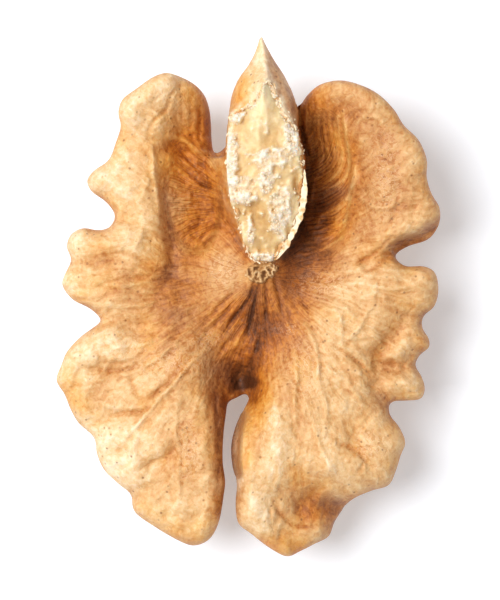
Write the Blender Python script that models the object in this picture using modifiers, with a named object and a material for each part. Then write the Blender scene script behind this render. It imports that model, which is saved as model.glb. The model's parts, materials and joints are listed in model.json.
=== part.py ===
"""Half of a shelled walnut kernel, lying on its convex back with its inner face up.

The half is one grown piece: two lobed wings joined by a narrow bridge, with the pointed
germ between them. The germ's upper side is torn where the other half broke away.
Run it with: blender --background --python part.py

The frame is +X across the wings, +Y towards the germ's tip and +Z up, in metres, with
the origin under the middle of the half, on the surface that it rests on.
"""

import bpy
import numpy as np

MM = 0.001

# Driving dimensions, in millimetres.
LENGTH = 36.3  # from the germ's tip to the lowest lobe
WIDTH = 26.8  # across the wings
BACK_DEPTH = 10.9  # depth of the back's dome at its middle
BACK_FULLNESS = 2.35  # power of the dome's section: 2 is an ellipse, more is boxier
BACK_SPAN = 0.525  # the dome's half axes, as a share of the width and the length
RIM_DROP = 1.5  # how far the inner face rolls down to the rim
RIM_ROLL = 1.35  # how wide that roll is
RIM_WALL = 0.35  # height of the upright band along the rim
BACK_ROLL = 3.2  # how wide the back's own roll is, below the rim
LEAST_WALL = 1.3  # the kernel is nowhere thinner than this, away from the rim
SULCUS_DEPTH = 3.0  # depth of the folds on the back
SULCUS_ROLL = 2.3  # how far the folds' round shoulders reach
FOLD_WANDER = 0.35  # how far a fold strays from its line
FLAT_SPOT = 0.2  # height of the crests that is worn flat where the half rests

GRID = 0.24  # spacing of the first net over the slab
NET = 0.26  # spacing of the final even net
SLAB = 1.2  # half thickness of the slab that the wings are shaped from
TRIANGLES = 9000  # how many the finished piece has
CUTTER_HEIGHT = 10.0  # of the block that cuts the flat spots
WELD_GAP = 0.00001  # in metres: corners this close are one
SOFTENING = 2  # rounds of smoothing after the germ is joined

# The wings' rim, seen from above: crests and notches in turn, counter-clockwise.
WINGS = [
    (-2.35, 10.15), (-2.62, 10.9), (-2.68, 12.2), (-2.8, 13.3), (-3.2, 14.3), (-4.1, 15.1),
    (-5.6, 15.65), (-6.7, 15.35), (-7.8, 14.6), (-8.8, 13.85), (-9.12, 12.9), (-8.95, 12.0),
    (-9.3, 10.9), (-9.8, 9.65), (-10.75, 8.98), (-11.33, 8.25), (-11.0, 7.45), (-10.0, 6.72),
    (-9.38, 5.8), (-9.75, 4.95), (-10.6, 4.76), (-11.65, 4.9), (-12.5, 4.4), (-12.75, 3.55),
    (-12.45, 2.68), (-12.88, 1.7), (-13.08, 0.9), (-12.35, -0.1), (-11.1, -0.75),
    (-10.35, -1.55), (-10.95, -2.08), (-11.85, -2.75), (-12.75, -3.75), (-13.15, -4.7),
    (-13.5, -5.75), (-12.95, -6.7), (-12.45, -7.9), (-11.9, -8.8), (-10.85, -9.75),
    (-10.66, -10.9), (-10.15, -12.05), (-9.05, -13.1), (-8.3, -13.75), (-8.05, -14.95),
    (-6.75, -15.95), (-5.0, -16.97), (-3.85, -17.35), (-2.75, -16.85), (-2.1, -15.6),
    (-1.8, -13.6), (-1.85, -12.7), (-2.0, -11.4), (-1.95, -9.6), (-1.6, -8.0),
    (-1.35, -7.15), (-0.75, -6.85), (-0.2, -7.2), (-0.7, -8.4), (-1.05, -9.7), (-1.15, -10.9),
    (-1.0, -12.1), (-0.8, -13.0), (-0.9, -14.4), (-0.75, -15.75), (0.1, -16.45),
    (1.2, -17.35), (2.6, -18.12), (3.6, -17.75), (4.6, -17.25), (5.6, -16.75), (5.98, -15.8),
    (6.55, -14.95), (7.3, -14.1), (8.6, -13.5), (9.75, -13.15), (10.25, -12.2),
    (10.62, -11.0), (10.95, -10.1), (10.5, -9.0), (9.85, -8.15), (9.95, -7.3), (11.1, -7.18),
    (12.05, -7.05), (12.33, -6.3), (12.05, -5.4), (11.66, -4.7), (12.0, -3.95), (12.62, -3.45),
    (12.58, -2.8), (12.14, -2.1), (12.22, -1.25), (12.95, -0.6), (13.25, 0.5), (13.02, 1.75),
    (12.2, 2.23), (10.9, 2.25), (10.2, 2.95), (11.1, 3.62), (12.5, 4.1), (13.25, 5.1),
    (13.28, 6.3), (12.7, 7.3), (12.36, 8.5), (12.38, 9.6), (11.8, 11.0), (10.75, 12.05),
    (10.1, 13.1), (8.9, 14.25), (7.4, 14.95), (6.2, 15.17), (4.95, 14.92), (4.05, 14.2),
    (3.55, 13.45), (2.6, 12.4), (0.8, 11.5), (-1.2, 10.9),
]

# The germ, seen from above: its tip, then its right side down to the scar and up again.
GERM = [
    (0.82, 18.22), (1.15, 17.7), (1.85, 16.6), (2.65, 15.45), (3.2, 14.3), (3.45, 13.2),
    (3.45, 12.1), (3.75, 11.0), (4.02, 9.8), (4.05, 8.2), (3.85, 6.4), (3.4, 4.9),
    (2.75, 3.6), (2.0, 2.65), (1.05, 2.3), (0.2, 2.55), (-0.45, 3.6), (-0.9, 5.1),
    (-1.45, 6.5), (-1.75, 8.0), (-1.8, 9.8), (-1.65, 11.6), (-1.42, 13.0), (-1.2, 14.2),
    (-0.75, 15.3), (0.0, 16.35), (0.45, 17.2),
]

# Spot heights of the inner face, away from the roll of the rim: x, y and z.
INNER_FACE = [
    (-5.9, 14, 11.2), (-7.6, 12.8, 10.8), (-4.3, 13.2, 10.1), (-3.2, 12.4, 8.5),
    (-8.2, 9.6, 10.4), (-10.4, 8.2, 9.9), (-7.9, 6.2, 10.2), (-6.6, 9, 10.2),
    (-6.6, 6, 10.1), (-5.3, 10.6, 8.8), (-5.3, 8.6, 8.4), (-4, 10, 7.8),
    (-3.2, 9, 7.5), (-2.4, 7.6, 7.5), (-3.4, 6.2, 7.4), (-4.8, 5.6, 8),
    (-8.2, 3, 10.2), (-11.4, 3.4, 9.8), (-11.8, 1, 9.5), (-9.2, 0.4, 9.9),
    (-6.2, 3, 9.5), (-5, 2.8, 8.6), (-2.2, 4.2, 8), (-2.2, 1.6, 8.9),
    (-5.4, 0.4, 9.1), (-3.2, -1, 9), (-6.8, -2.4, 9.6), (-9.4, -3, 9.8),
    (-12, -4.4, 9.4), (-12.3, -6, 9.2), (-9.2, -6.2, 9.6), (-6.6, -5.8, 9.8),
    (-3.4, -5, 9.5), (-10.6, -8.2, 9.4), (-8, -9.2, 9.9), (-5, -8.2, 10.2),
    (-3.2, -8.6, 10), (-3.4, -12, 10.1), (-6.2, -11.8, 9.7), (-8.8, -11.6, 9.3),
    (-6.4, -14.2, 9.1), (-3.8, -15.4, 9.2), (0.9, 1.4, 9.3), (0.5, -0.6, 8.9),
    (0.1, -2.6, 7.9), (-0.3, -4.2, 6.5), (-0.6, -5.6, 4.4), (1.9, -3.4, 8.5),
    (1.2, -5.8, 8.6), (3, -1.2, 8.9), (3.2, 1.4, 8.1), (4.4, 3.2, 7.1),
    (5, 5.4, 5.8), (4.9, 7.8, 5.3), (5.1, 10.2, 5.9), (5, 12.2, 7.4),
    (4.9, 13.7, 9.1), (7.2, 8, 8.9), (7.4, 11, 10.2), (6.5, 13.4, 10.4),
    (9.2, 12, 11), (10.6, 9.4, 10.9), (9.2, 7, 10.5), (11.7, 6, 10.6),
    (8.8, 4, 9.8), (6.8, 3.6, 8.7), (6.6, 0.6, 9.4), (11.6, 0.8, 9.4),
    (8.8, -1.6, 9.5), (5.4, -2.6, 9.6), (11.4, -3.1, 8.8), (9.4, -4.6, 8.8),
    (11, -6.2, 8.6), (7.2, -6.2, 9.5), (4.2, -6, 9.8), (1.9, -8.2, 10.1),
    (0.9, -11, 10.2), (4.2, -10, 10.2), (7.4, -9.2, 9.5), (9.5, -10, 9.2),
    (7.4, -12.2, 9.5), (5.4, -11.8, 9.8), (0.5, -13.8, 10), (0.9, -15.6, 9.5),
    (3.2, -14, 8.8), (5.6, -14.9, 7.4), (4.6, -16.4, 8.1), (2.4, -17, 8.6),
]

# The folds of the back: the fissure between the wings, then those that run in from the
# rim's notches, each from its outer end.
FOLDS = [
    [(-0.8, -7.6), (-0.4, -3.6), (0.3, 0.4), (0.5, 4.4), (0.2, 8.6), (-2.2, 10.6)],
    [(-9.3, 12.0), (-7.7, 11.0), (-6.9, 9.4), (-5.0, 8.9), (-3.6, 9.6)],
    [(-9.2, 5.8), (-7.4, 5.2), (-5.7, 6.2), (-3.8, 5.3), (-2.0, 5.9)],
    [(-12.4, 2.7), (-10.8, 2.5), (-9.2, 1.4), (-7.2, 2.2), (-5.4, 1.0), (-3.4, 1.8)],
    [(-10.3, -1.6), (-8.3, -1.2), (-6.4, -2.4), (-4.4, -1.4), (-2.4, -2.4)],
    [(-13.2, -6.9), (-11.0, -6.0), (-9.2, -4.8), (-7.4, -5.4), (-5.6, -4.6)],
    [(-11.0, -10.3), (-9.2, -9.0), (-7.3, -9.1), (-6.0, -7.4), (-3.8, -6.8)],
    [(-8.4, -14.2), (-6.9, -12.9), (-5.4, -13.2), (-4.2, -11.5), (-2.2, -11.2)],
    [(10.2, 3.0), (8.4, 2.4), (6.6, 3.4), (4.6, 2.2), (2.6, 2.8)],
    [(12.6, 8.2), (10.5, 7.4), (8.8, 8.4), (6.7, 7.2), (4.6, 7.9)],
    [(10.9, 12.4), (9.0, 11.2), (7.3, 11.9), (5.7, 10.7), (3.6, 11.4)],
    [(12.0, -1.7), (10.3, -1.2), (8.4, -2.2), (6.3, -1.4), (4.0, -2.2)],
    [(11.6, -4.6), (9.8, -4.3), (8.2, -5.5), (6.2, -4.8), (3.9, -5.4)],
    [(9.6, -7.7), (8.0, -8.3), (6.2, -7.5), (4.3, -8.5), (1.8, -7.9)],
    [(7.3, -14.4), (5.7, -12.7), (4.0, -12.9), (2.6, -11.2), (0.6, -11.4)],
]

# The germ's upper side along its keel: y, height at the middle, height at the two sides.
GERM_Y = [2.3, 4.0, 7.0, 10.0, 13.0, 14.8, 16.6, 18.2]
GERM_MIDDLE = [9.2, 10.5, 11.9, 12.6, 13.0, 13.1, 12.1, 10.6]
GERM_SIDE = [9.0, 10.2, 11.6, 12.2, 11.8, 10.6, 10.2, 10.3]
GERM_UNDER = [3.0, 3.0, 3.0, 3.2, 4.0, 5.0, 6.6, 9.4]
GERM_BROW = 0.75  # where its steep flank meets its belly, as a share of its height
GERM_EDGE = 0.5  # how far the round edge of its top reaches in
GERM_KEEL = 2.4  # how far in the keel along its middle stands
GERM_BELLY = 2.6  # how far in its belly is round

SKIN_COLOUR = (0.62, 0.37, 0.16, 1.0)


def smooth_path(points, steps, closed):
    """A Catmull-Rom curve through the points, as an array with `steps` points a span."""
    points = np.array(points, float)
    if closed:
        around = np.concatenate([points[-1:], points, points[:2]])
    else:
        around = np.concatenate([points[:1], points, points[-1:]])
    t = np.linspace(0, 1, steps, endpoint=False)[:, None]
    spans = []
    for a, b, c, d in zip(around, around[1:], around[2:], around[3:]):
        bend = (2 * a - 5 * b + 4 * c - d) * t**2 + (3 * b - a - 3 * c + d) * t**3
        spans.append(b + 0.5 * ((c - a) * t + bend))
    curve = np.concatenate(spans)
    return curve if closed else np.concatenate([curve, points[-1:]])


def distance_to(path, x, y):
    """The distance from each point (x, y) to the nearest of the path's straight spans."""
    nearest = np.full(x.shape, np.inf)
    for (ax, ay), (bx, by) in zip(path, path[1:]):
        run = (bx - ax) ** 2 + (by - ay) ** 2
        t = np.clip(((x - ax) * (bx - ax) + (y - ay) * (by - ay)) / max(run, 1e-12), 0, 1)
        gap = (x - ax - t * (bx - ax)) ** 2 + (y - ay - t * (by - ay)) ** 2
        nearest = np.minimum(nearest, gap)
    return np.sqrt(nearest)


def inside(loop, x, y):
    """Whether each point (x, y) is inside the closed loop, by counting crossings."""
    odd = np.zeros(x.shape, bool)
    for (ax, ay), (bx, by) in zip(loop, np.roll(loop, -1, axis=0)):
        if ay != by:
            odd ^= ((ay > y) != (by > y)) & (x < (bx - ax) * (y - ay) / (by - ay) + ax)
    return odd


def depth_in(loop, x, y):
    """How far each point is inside the closed loop; 0 on it and outside."""
    ring = np.concatenate([loop, loop[:1]])
    return np.where(inside(loop, x, y), distance_to(ring, x, y), 0.0)


def spot_surface(spots, x, y):
    """A thin-plate surface through spot heights, read at each point (x, y)."""
    spots = np.array(spots, float)

    def bend(r2):
        return 0.5 * r2 * np.log(np.maximum(r2, 1e-12))

    px, py, pz = spots.T
    n = len(spots)
    system = np.zeros((n + 3, n + 3))
    system[:n, :n] = bend((px[:, None] - px) ** 2 + (py[:, None] - py) ** 2)
    system[:n, n:] = np.stack([np.ones(n), px, py], 1)
    system[n:, :n] = system[:n, n:].T
    weights = np.linalg.solve(system, np.concatenate([pz, np.zeros(3)]))
    height = weights[n] + weights[n + 1] * x + weights[n + 2] * y
    for w, sx, sy in zip(weights[:n], px, py):
        height = height + w * bend((x - sx) ** 2 + (y - sy) ** 2)
    return height


def quarter_round(share):
    """Height of a quarter circle, from 0 at share 0 to 1 at share 1 and beyond."""
    return np.sqrt(1 - (1 - np.clip(share, 0, 1)) ** 2)


def wings_surface(x, y, loop):
    """Heights of the wings' top and underside at each point (x, y)."""
    depth = depth_in(loop, x, y)
    face = spot_surface(INNER_FACE, x, y)
    rim = face - RIM_DROP
    top = rim + RIM_DROP * quarter_round(depth / RIM_ROLL)
    reach = np.hypot(x / (BACK_SPAN * WIDTH), y / (BACK_SPAN * LENGTH))
    section = np.clip(1 - reach**BACK_FULLNESS, 0, 1) ** (1 / BACK_FULLNESS)
    dome = BACK_DEPTH * (1 - section) - FLAT_SPOT
    # The folds wander a little, so that no two gyri are alike.
    wander = FOLD_WANDER * np.sin(1.3 * y + 0.4 * x)
    wx = x + wander + 0.6 * FOLD_WANDER * np.sin(2.9 * y)
    wy = y + wander + 0.6 * FOLD_WANDER * np.sin(2.7 * x + 1.0)
    fold = np.full(x.shape, np.inf)
    for path in FOLDS:
        fold = np.minimum(fold, distance_to(smooth_path(path, 5, False), wx, wy))
    dome = dome + SULCUS_DEPTH * (1 - quarter_round(fold / SULCUS_ROLL))
    dome = np.minimum(dome, rim - RIM_WALL)
    under = rim - RIM_WALL + (dome - rim + RIM_WALL) * quarter_round(depth / BACK_ROLL)
    thinnest = top - RIM_WALL - LEAST_WALL * np.clip(depth / RIM_ROLL, 0, 1)
    return top, np.minimum(under, thinnest)


def germ_surface(x, y, loop):
    """Heights of the germ's top and underside at each point (x, y)."""
    depth = depth_in(loop, x, y)
    middle, side, under = (np.interp(y, GERM_Y, z) for z in (GERM_MIDDLE, GERM_SIDE, GERM_UNDER))
    brow = under + GERM_BROW * (side - under)
    top = brow + (side - brow) * quarter_round(depth / GERM_EDGE)
    top = top + (middle - side) * np.clip(depth / GERM_KEEL, 0, 1)
    bottom = brow - RIM_WALL + (under - brow + RIM_WALL) * quarter_round(depth / GERM_BELLY)
    return top, bottom


def add_mesh(name, verts, faces, collection):
    """A new mesh object."""
    mesh = bpy.data.meshes.new(name)
    mesh.from_pydata(verts, [], faces)
    thing = bpy.data.objects.new(name, mesh)
    collection.objects.link(thing)
    return thing


def outline_slab(name, loop, collection):
    """A flat slab with this outline, from a filled 2D curve, as a mesh object."""
    curve = bpy.data.curves.new(name, "CURVE")
    curve.dimensions = "2D"
    curve.fill_mode = "BOTH"
    curve.extrude = SLAB * MM
    spline = curve.splines.new("POLY")
    spline.points.add(len(loop) - 1)
    for point, (x, y) in zip(spline.points, loop):
        point.co = (x * MM, y * MM, 0, 1)
    spline.use_cyclic_u = True
    guide = bpy.data.objects.new(name + "_outline", curve)
    collection.objects.link(guide)
    bpy.context.view_layer.update()
    mesh = bpy.data.meshes.new_from_object(guide.evaluated_get(bpy.context.evaluated_depsgraph_get()))
    bpy.data.objects.remove(guide)
    slab = bpy.data.objects.new(name, mesh)
    collection.objects.link(slab)
    weld = slab.modifiers.new("weld", "WELD")
    weld.merge_threshold = WELD_GAP
    return slab


def bake_modifiers(thing):
    """Replaces the object's mesh with what its modifiers make of it."""
    bpy.context.view_layer.update()
    mesh = bpy.data.meshes.new_from_object(thing.evaluated_get(bpy.context.evaluated_depsgraph_get()))
    thing.modifiers.clear()
    thing.data = mesh


def even_net(thing, spacing):
    """Gives the object an even net of this spacing, in millimetres."""
    remesh = thing.modifiers.new("net", "REMESH")
    remesh.mode = "VOXEL"
    remesh.voxel_size = spacing * MM
    bake_modifiers(thing)


def shape_slab(slab, surface, loop):
    """Moves the slab's upper and lower sides to the surface's top and underside."""
    count = len(slab.data.vertices)
    co = np.empty(count * 3)
    slab.data.vertices.foreach_get("co", co)
    co = co.reshape(-1, 3)
    x, y = co[:, 0] / MM, co[:, 1] / MM
    share = np.clip((co[:, 2] / MM + SLAB) / (2 * SLAB), 0, 1)
    top, under = surface(x, y, loop)
    co[:, 2] = (under + share * (top - under)) * MM
    slab.data.vertices.foreach_set("co", co.ravel())
    slab.data.update()


def shaped_piece(name, outline, surface, collection):
    """One solid from its outline and its surface."""
    loop = smooth_path(outline, 5, True)
    slab = outline_slab(name, loop, collection)
    even_net(slab, GRID)
    shape_slab(slab, surface, loop)
    return slab


def join_by_union(whole, other):
    """Joins another solid to this one and removes it."""
    union = whole.modifiers.new("join", "BOOLEAN")
    union.operation = "UNION"
    union.object = other
    bake_modifiers(whole)
    bpy.data.objects.remove(other)


def skin_material():
    """The kernel's thin brown skin."""
    material = bpy.data.materials.new("kernel_skin")
    material.use_nodes = True
    shader = material.node_tree.nodes["Principled BSDF"]
    shader.inputs["Base Color"].default_value = SKIN_COLOUR
    shader.inputs["Roughness"].default_value = 0.5
    shader.inputs["Metallic"].default_value = 0.0
    material.diffuse_color = SKIN_COLOUR
    return material


def centre_on_origin(thing):
    """Moves the mesh so that its box is centred over the origin."""
    co = np.empty(len(thing.data.vertices) * 3)
    thing.data.vertices.foreach_get("co", co)
    co = co.reshape(-1, 3)
    co[:, :2] -= (co[:, :2].min(axis=0) + co[:, :2].max(axis=0)) / 2
    thing.data.vertices.foreach_set("co", co.ravel())
    thing.data.update()


def rest_on_flat(thing, cutters):
    """Cuts the lowest crests flat at z = 0, where the half rests."""
    bpy.ops.mesh.primitive_cube_add(size=1, location=(0, 0, -0.5 * CUTTER_HEIGHT * MM))
    block = bpy.context.object
    block.name = "surface_cutter"
    block.scale = (2 * LENGTH * MM, 2 * LENGTH * MM, CUTTER_HEIGHT * MM)
    bpy.ops.object.transform_apply(location=True, rotation=False, scale=True)
    for holder in list(block.users_collection):
        holder.objects.unlink(block)
    cutters.objects.link(block)
    block.hide_render = True
    block.display_type = "WIRE"
    cut = thing.modifiers.new("flat_spot", "BOOLEAN")
    cut.operation = "DIFFERENCE"
    cut.object = block


def main():
    """Clears the scene and builds the kernel half."""
    for thing in list(bpy.data.objects):
        bpy.data.objects.remove(thing)
    collection = bpy.data.collections.new("walnut_kernel")
    cutters = bpy.data.collections.new("cutters")
    bpy.context.scene.collection.children.link(collection)
    bpy.context.scene.collection.children.link(cutters)
    kernel = shaped_piece("walnut_kernel_half", WINGS, wings_surface, collection)
    germ = shaped_piece("germ", GERM, germ_surface, collection)
    join_by_union(kernel, germ)
    even_net(kernel, NET)
    soften = kernel.modifiers.new("soften", "SMOOTH")
    soften.factor = 0.5
    soften.iterations = SOFTENING
    bake_modifiers(kernel)
    centre_on_origin(kernel)
    kernel.data.calc_loop_triangles()
    thin = kernel.modifiers.new("thin_out", "DECIMATE")
    thin.ratio = TRIANGLES / len(kernel.data.loop_triangles)
    rest_on_flat(kernel, cutters)
    kernel.data.materials.append(skin_material())
    kernel.data.shade_smooth()


main()
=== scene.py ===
"""Half of a shelled walnut kernel on a pale studio floor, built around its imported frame.

The half lies on its domed back with its inner face up. Two lobed wings meet in a narrow
bridge, and the pointed germ between them is torn open where the other half broke away.

Shapes are drawn on a square-celled chart seen from above, in millimetres, and carried
onto even nets. The chart's own origin is near the middle of the half; the finished
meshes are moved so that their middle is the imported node's middle.
"""

import json
import logging
import math
from collections.abc import Callable
from dataclasses import dataclass, field
from functools import partial

import bmesh
import bpy
import numpy as np
from mathutils import Euler, Matrix, Vector

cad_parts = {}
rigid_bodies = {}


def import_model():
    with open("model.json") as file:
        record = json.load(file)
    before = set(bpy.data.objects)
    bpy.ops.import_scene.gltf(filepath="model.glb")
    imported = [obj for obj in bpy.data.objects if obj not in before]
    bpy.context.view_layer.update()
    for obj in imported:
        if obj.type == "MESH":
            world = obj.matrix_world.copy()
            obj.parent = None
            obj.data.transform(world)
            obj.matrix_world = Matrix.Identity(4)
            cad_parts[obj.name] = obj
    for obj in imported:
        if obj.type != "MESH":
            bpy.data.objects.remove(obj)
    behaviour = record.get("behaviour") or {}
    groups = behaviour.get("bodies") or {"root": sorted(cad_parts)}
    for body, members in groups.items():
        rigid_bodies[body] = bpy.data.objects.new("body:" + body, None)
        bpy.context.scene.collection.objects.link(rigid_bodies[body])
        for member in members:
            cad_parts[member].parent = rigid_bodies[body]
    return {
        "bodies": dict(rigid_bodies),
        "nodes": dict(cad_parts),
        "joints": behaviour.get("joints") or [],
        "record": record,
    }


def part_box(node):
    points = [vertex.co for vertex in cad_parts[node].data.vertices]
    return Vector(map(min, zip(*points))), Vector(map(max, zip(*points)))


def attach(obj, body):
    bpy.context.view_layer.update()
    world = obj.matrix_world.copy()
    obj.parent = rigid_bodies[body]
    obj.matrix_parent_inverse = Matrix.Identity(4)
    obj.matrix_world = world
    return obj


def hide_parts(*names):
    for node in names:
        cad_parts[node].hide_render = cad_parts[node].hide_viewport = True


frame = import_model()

LOG = logging.getLogger("walnut")
MM = 0.001
NODE = "walnut_kernel_half"
BODY = "root"
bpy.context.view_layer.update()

Point = tuple[float, float]
Path = list[Point]
Marks = list[tuple[float, Path]]
Blob = tuple[float, float, float, float]
Family = tuple[float, int, Path, Path]
Field = np.ndarray


# ---------------------------------------------------------------- outlines and spots

# The wings' rim, seen from above: crests and notches in turn, counter-clockwise.
WINGS: Path = [
    (-2.35, 10.15), (-2.62, 10.9), (-2.68, 12.2), (-2.8, 13.3), (-3.2, 14.3), (-4.1, 15.1),
    (-5.6, 15.65), (-6.7, 15.35), (-7.8, 14.6), (-8.8, 13.85), (-9.12, 12.9), (-8.95, 12.0),
    (-9.3, 10.9), (-9.8, 9.65), (-10.75, 8.98), (-11.33, 8.25), (-11.0, 7.45), (-10.0, 6.72),
    (-9.38, 5.8), (-9.75, 4.95), (-10.6, 4.76), (-11.65, 4.9), (-12.5, 4.4), (-12.75, 3.55),
    (-12.45, 2.68), (-12.88, 1.7), (-13.08, 0.9), (-12.35, -0.1), (-11.1, -0.75),
    (-10.35, -1.55), (-10.95, -2.08), (-11.85, -2.75), (-12.75, -3.75), (-13.15, -4.7),
    (-13.5, -5.75), (-12.95, -6.7), (-12.45, -7.9), (-11.9, -8.8), (-10.85, -9.75),
    (-10.66, -10.9), (-10.15, -12.05), (-9.05, -13.1), (-8.3, -13.75), (-8.05, -14.95),
    (-6.75, -15.95), (-5.0, -16.97), (-3.85, -17.35), (-2.75, -16.85), (-2.1, -15.6),
    (-1.75, -13.6), (-1.68, -12.7), (-1.85, -11.4), (-1.8, -9.6), (-1.62, -8.1),
    (-1.48, -7.3), (-0.95, -7.05), (-0.35, -6.75), (0.02, -6.9), (-0.2, -7.5),
    (-0.76, -8.5), (-1.18, -9.8),
    (-1.28, -10.9), (-1.12, -12.1), (-0.85, -13.0), (-0.95, -14.4), (-0.75, -15.75),
    (0.1, -16.45), (1.2, -17.35), (2.6, -18.12), (3.6, -17.75), (4.6, -17.25), (5.6, -16.75),
    (5.98, -15.8), (6.55, -14.95), (7.3, -14.1), (8.6, -13.5), (9.75, -13.15), (10.25, -12.2),
    (10.62, -11.0), (10.95, -10.1), (10.5, -9.0), (9.85, -8.15), (9.95, -7.3), (11.1, -7.18),
    (12.05, -7.05), (12.33, -6.3), (12.05, -5.4), (11.66, -4.7), (12.0, -3.95), (12.62, -3.45),
    (12.58, -2.8), (12.14, -2.1), (12.22, -1.25), (12.95, -0.6), (13.25, 0.5), (13.02, 1.75),
    (12.2, 2.23), (10.9, 2.25), (10.2, 2.95), (11.1, 3.62), (12.5, 4.1), (13.25, 5.1),
    (13.28, 6.3), (12.7, 7.3), (12.36, 8.5), (12.38, 9.6), (11.8, 11.0), (10.75, 12.05),
    (10.1, 13.1), (8.9, 14.25), (7.4, 14.95), (6.2, 15.17), (4.95, 14.92), (4.05, 14.2),
    (3.55, 13.45), (2.6, 12.4), (0.8, 11.5), (-1.2, 10.9),
]

# The germ, seen from above: its tip, then its right side down to the scar and up again.
GERM: Path = [
    (0.82, 18.22), (1.12, 17.7), (1.75, 16.6), (2.5, 15.45), (3.05, 14.3), (3.35, 13.2),
    (3.4, 12.1), (3.62, 11.0), (3.86, 9.8), (3.9, 8.2), (3.72, 6.4), (3.3, 4.9),
    (2.7, 3.6), (2.0, 2.65), (1.05, 2.3), (0.2, 2.55), (-0.42, 3.6), (-0.85, 5.1),
    (-1.35, 6.5), (-1.62, 8.0), (-1.68, 9.8), (-1.58, 11.6), (-1.4, 13.0), (-1.2, 14.2),
    (-0.75, 15.3), (0.0, 16.35), (0.45, 17.2),
]

# The torn face of the germ: its apex, then down its left side to the scar and up again.
TORN: Path = [
    (1.3, 14.95), (0.8, 14.05), (0.25, 13.4), (-0.3, 13.05), (-0.9, 12.75), (-1.35, 12.3),
    (-1.54, 11.3), (-1.62, 9.8), (-1.6, 8.4), (-1.5, 7.3), (-1.38, 6.6), (-0.95, 6.1),
    (-0.75, 5.3), (-0.5, 4.3), (-0.12, 3.4), (0.35, 2.75), (1.0, 2.45), (1.55, 2.6),
    (2.05, 3.2), (2.6, 4.1), (3.1, 5.0), (3.45, 6.2), (3.62, 7.4), (3.72, 8.6), (3.66, 9.8),
    (3.45, 10.8), (3.1, 11.7), (2.65, 12.3), (2.2, 13.0), (1.8, 14.0),
]

# Spot heights of the inner face, away from the roll of the rim: x, y and z.
INNER_FACE = [
    (-5.9, 14.0, 11.2), (-7.6, 12.8, 10.8), (-4.3, 13.2, 10.1), (-3.2, 12.4, 8.5),
    (-8.2, 9.6, 10.4), (-10.4, 8.2, 9.9), (-7.9, 6.2, 10.2), (-6.6, 9.0, 10.2),
    (-6.6, 6.0, 10.1), (-5.3, 10.6, 8.8), (-5.3, 8.6, 8.4), (-4.0, 10.0, 7.8),
    (-3.2, 9.0, 7.5), (-2.4, 7.6, 7.5), (-3.4, 6.2, 7.4), (-4.8, 5.6, 8.0),
    (-8.2, 3.0, 10.2), (-11.4, 3.4, 9.8), (-11.8, 1.0, 9.5), (-9.2, 0.4, 9.9),
    (-6.2, 3.0, 9.5), (-5.0, 2.8, 8.6), (-2.2, 4.2, 8.0), (-2.2, 1.6, 8.9),
    (-5.4, 0.4, 9.1), (-3.2, -1.0, 9.0), (-6.8, -2.4, 9.6), (-9.4, -3.0, 9.8),
    (-12.0, -4.4, 9.4), (-12.3, -6.0, 9.2), (-9.2, -6.2, 9.6), (-6.6, -5.8, 9.8),
    (-3.4, -5.0, 9.5), (-10.6, -8.2, 9.4), (-8.0, -9.2, 9.9), (-5.0, -8.2, 10.2),
    (-3.2, -8.6, 10.0), (-3.4, -12.0, 10.1), (-6.2, -11.8, 9.7), (-8.8, -11.6, 9.3),
    (-6.4, -14.2, 9.1), (-3.8, -15.4, 9.2), (0.9, 1.4, 9.3), (0.5, -0.6, 8.9),
    (0.1, -2.6, 8.1), (-0.3, -4.2, 7.3), (-0.6, -5.6, 5.8), (1.9, -3.4, 8.5),
    (1.2, -5.8, 8.6), (3.0, -1.2, 8.9), (3.2, 1.4, 8.1), (4.4, 3.2, 7.5),
    (5.0, 5.4, 6.7), (4.9, 7.8, 6.4), (5.1, 10.2, 6.9), (5.0, 12.2, 8.0),
    (4.9, 13.7, 9.1), (7.2, 8.0, 8.9), (7.4, 11.0, 10.2), (6.5, 13.4, 10.4),
    (9.2, 12.0, 11.0), (10.6, 9.4, 10.9), (9.2, 7.0, 10.5), (11.7, 6.0, 10.6),
    (8.8, 4.0, 9.8), (6.8, 3.6, 8.7), (6.6, 0.6, 9.4), (11.6, 0.8, 9.4),
    (8.8, -1.6, 9.5), (5.4, -2.6, 9.6), (11.4, -3.1, 8.8), (9.4, -4.6, 8.8),
    (11.0, -6.2, 8.6), (7.2, -6.2, 9.5), (4.2, -6.0, 9.9), (1.9, -8.2, 10.1),
    (0.9, -11.0, 10.2), (4.2, -10.0, 10.2), (7.4, -9.2, 9.5), (9.5, -10.0, 9.3),
    (7.4, -12.2, 9.5), (5.4, -11.8, 9.8), (0.5, -13.8, 10.0), (0.9, -15.6, 9.5),
    (3.2, -14.0, 8.8), (5.6, -14.9, 7.4), (4.6, -16.4, 8.1), (2.4, -17.0, 8.6),
]

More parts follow.
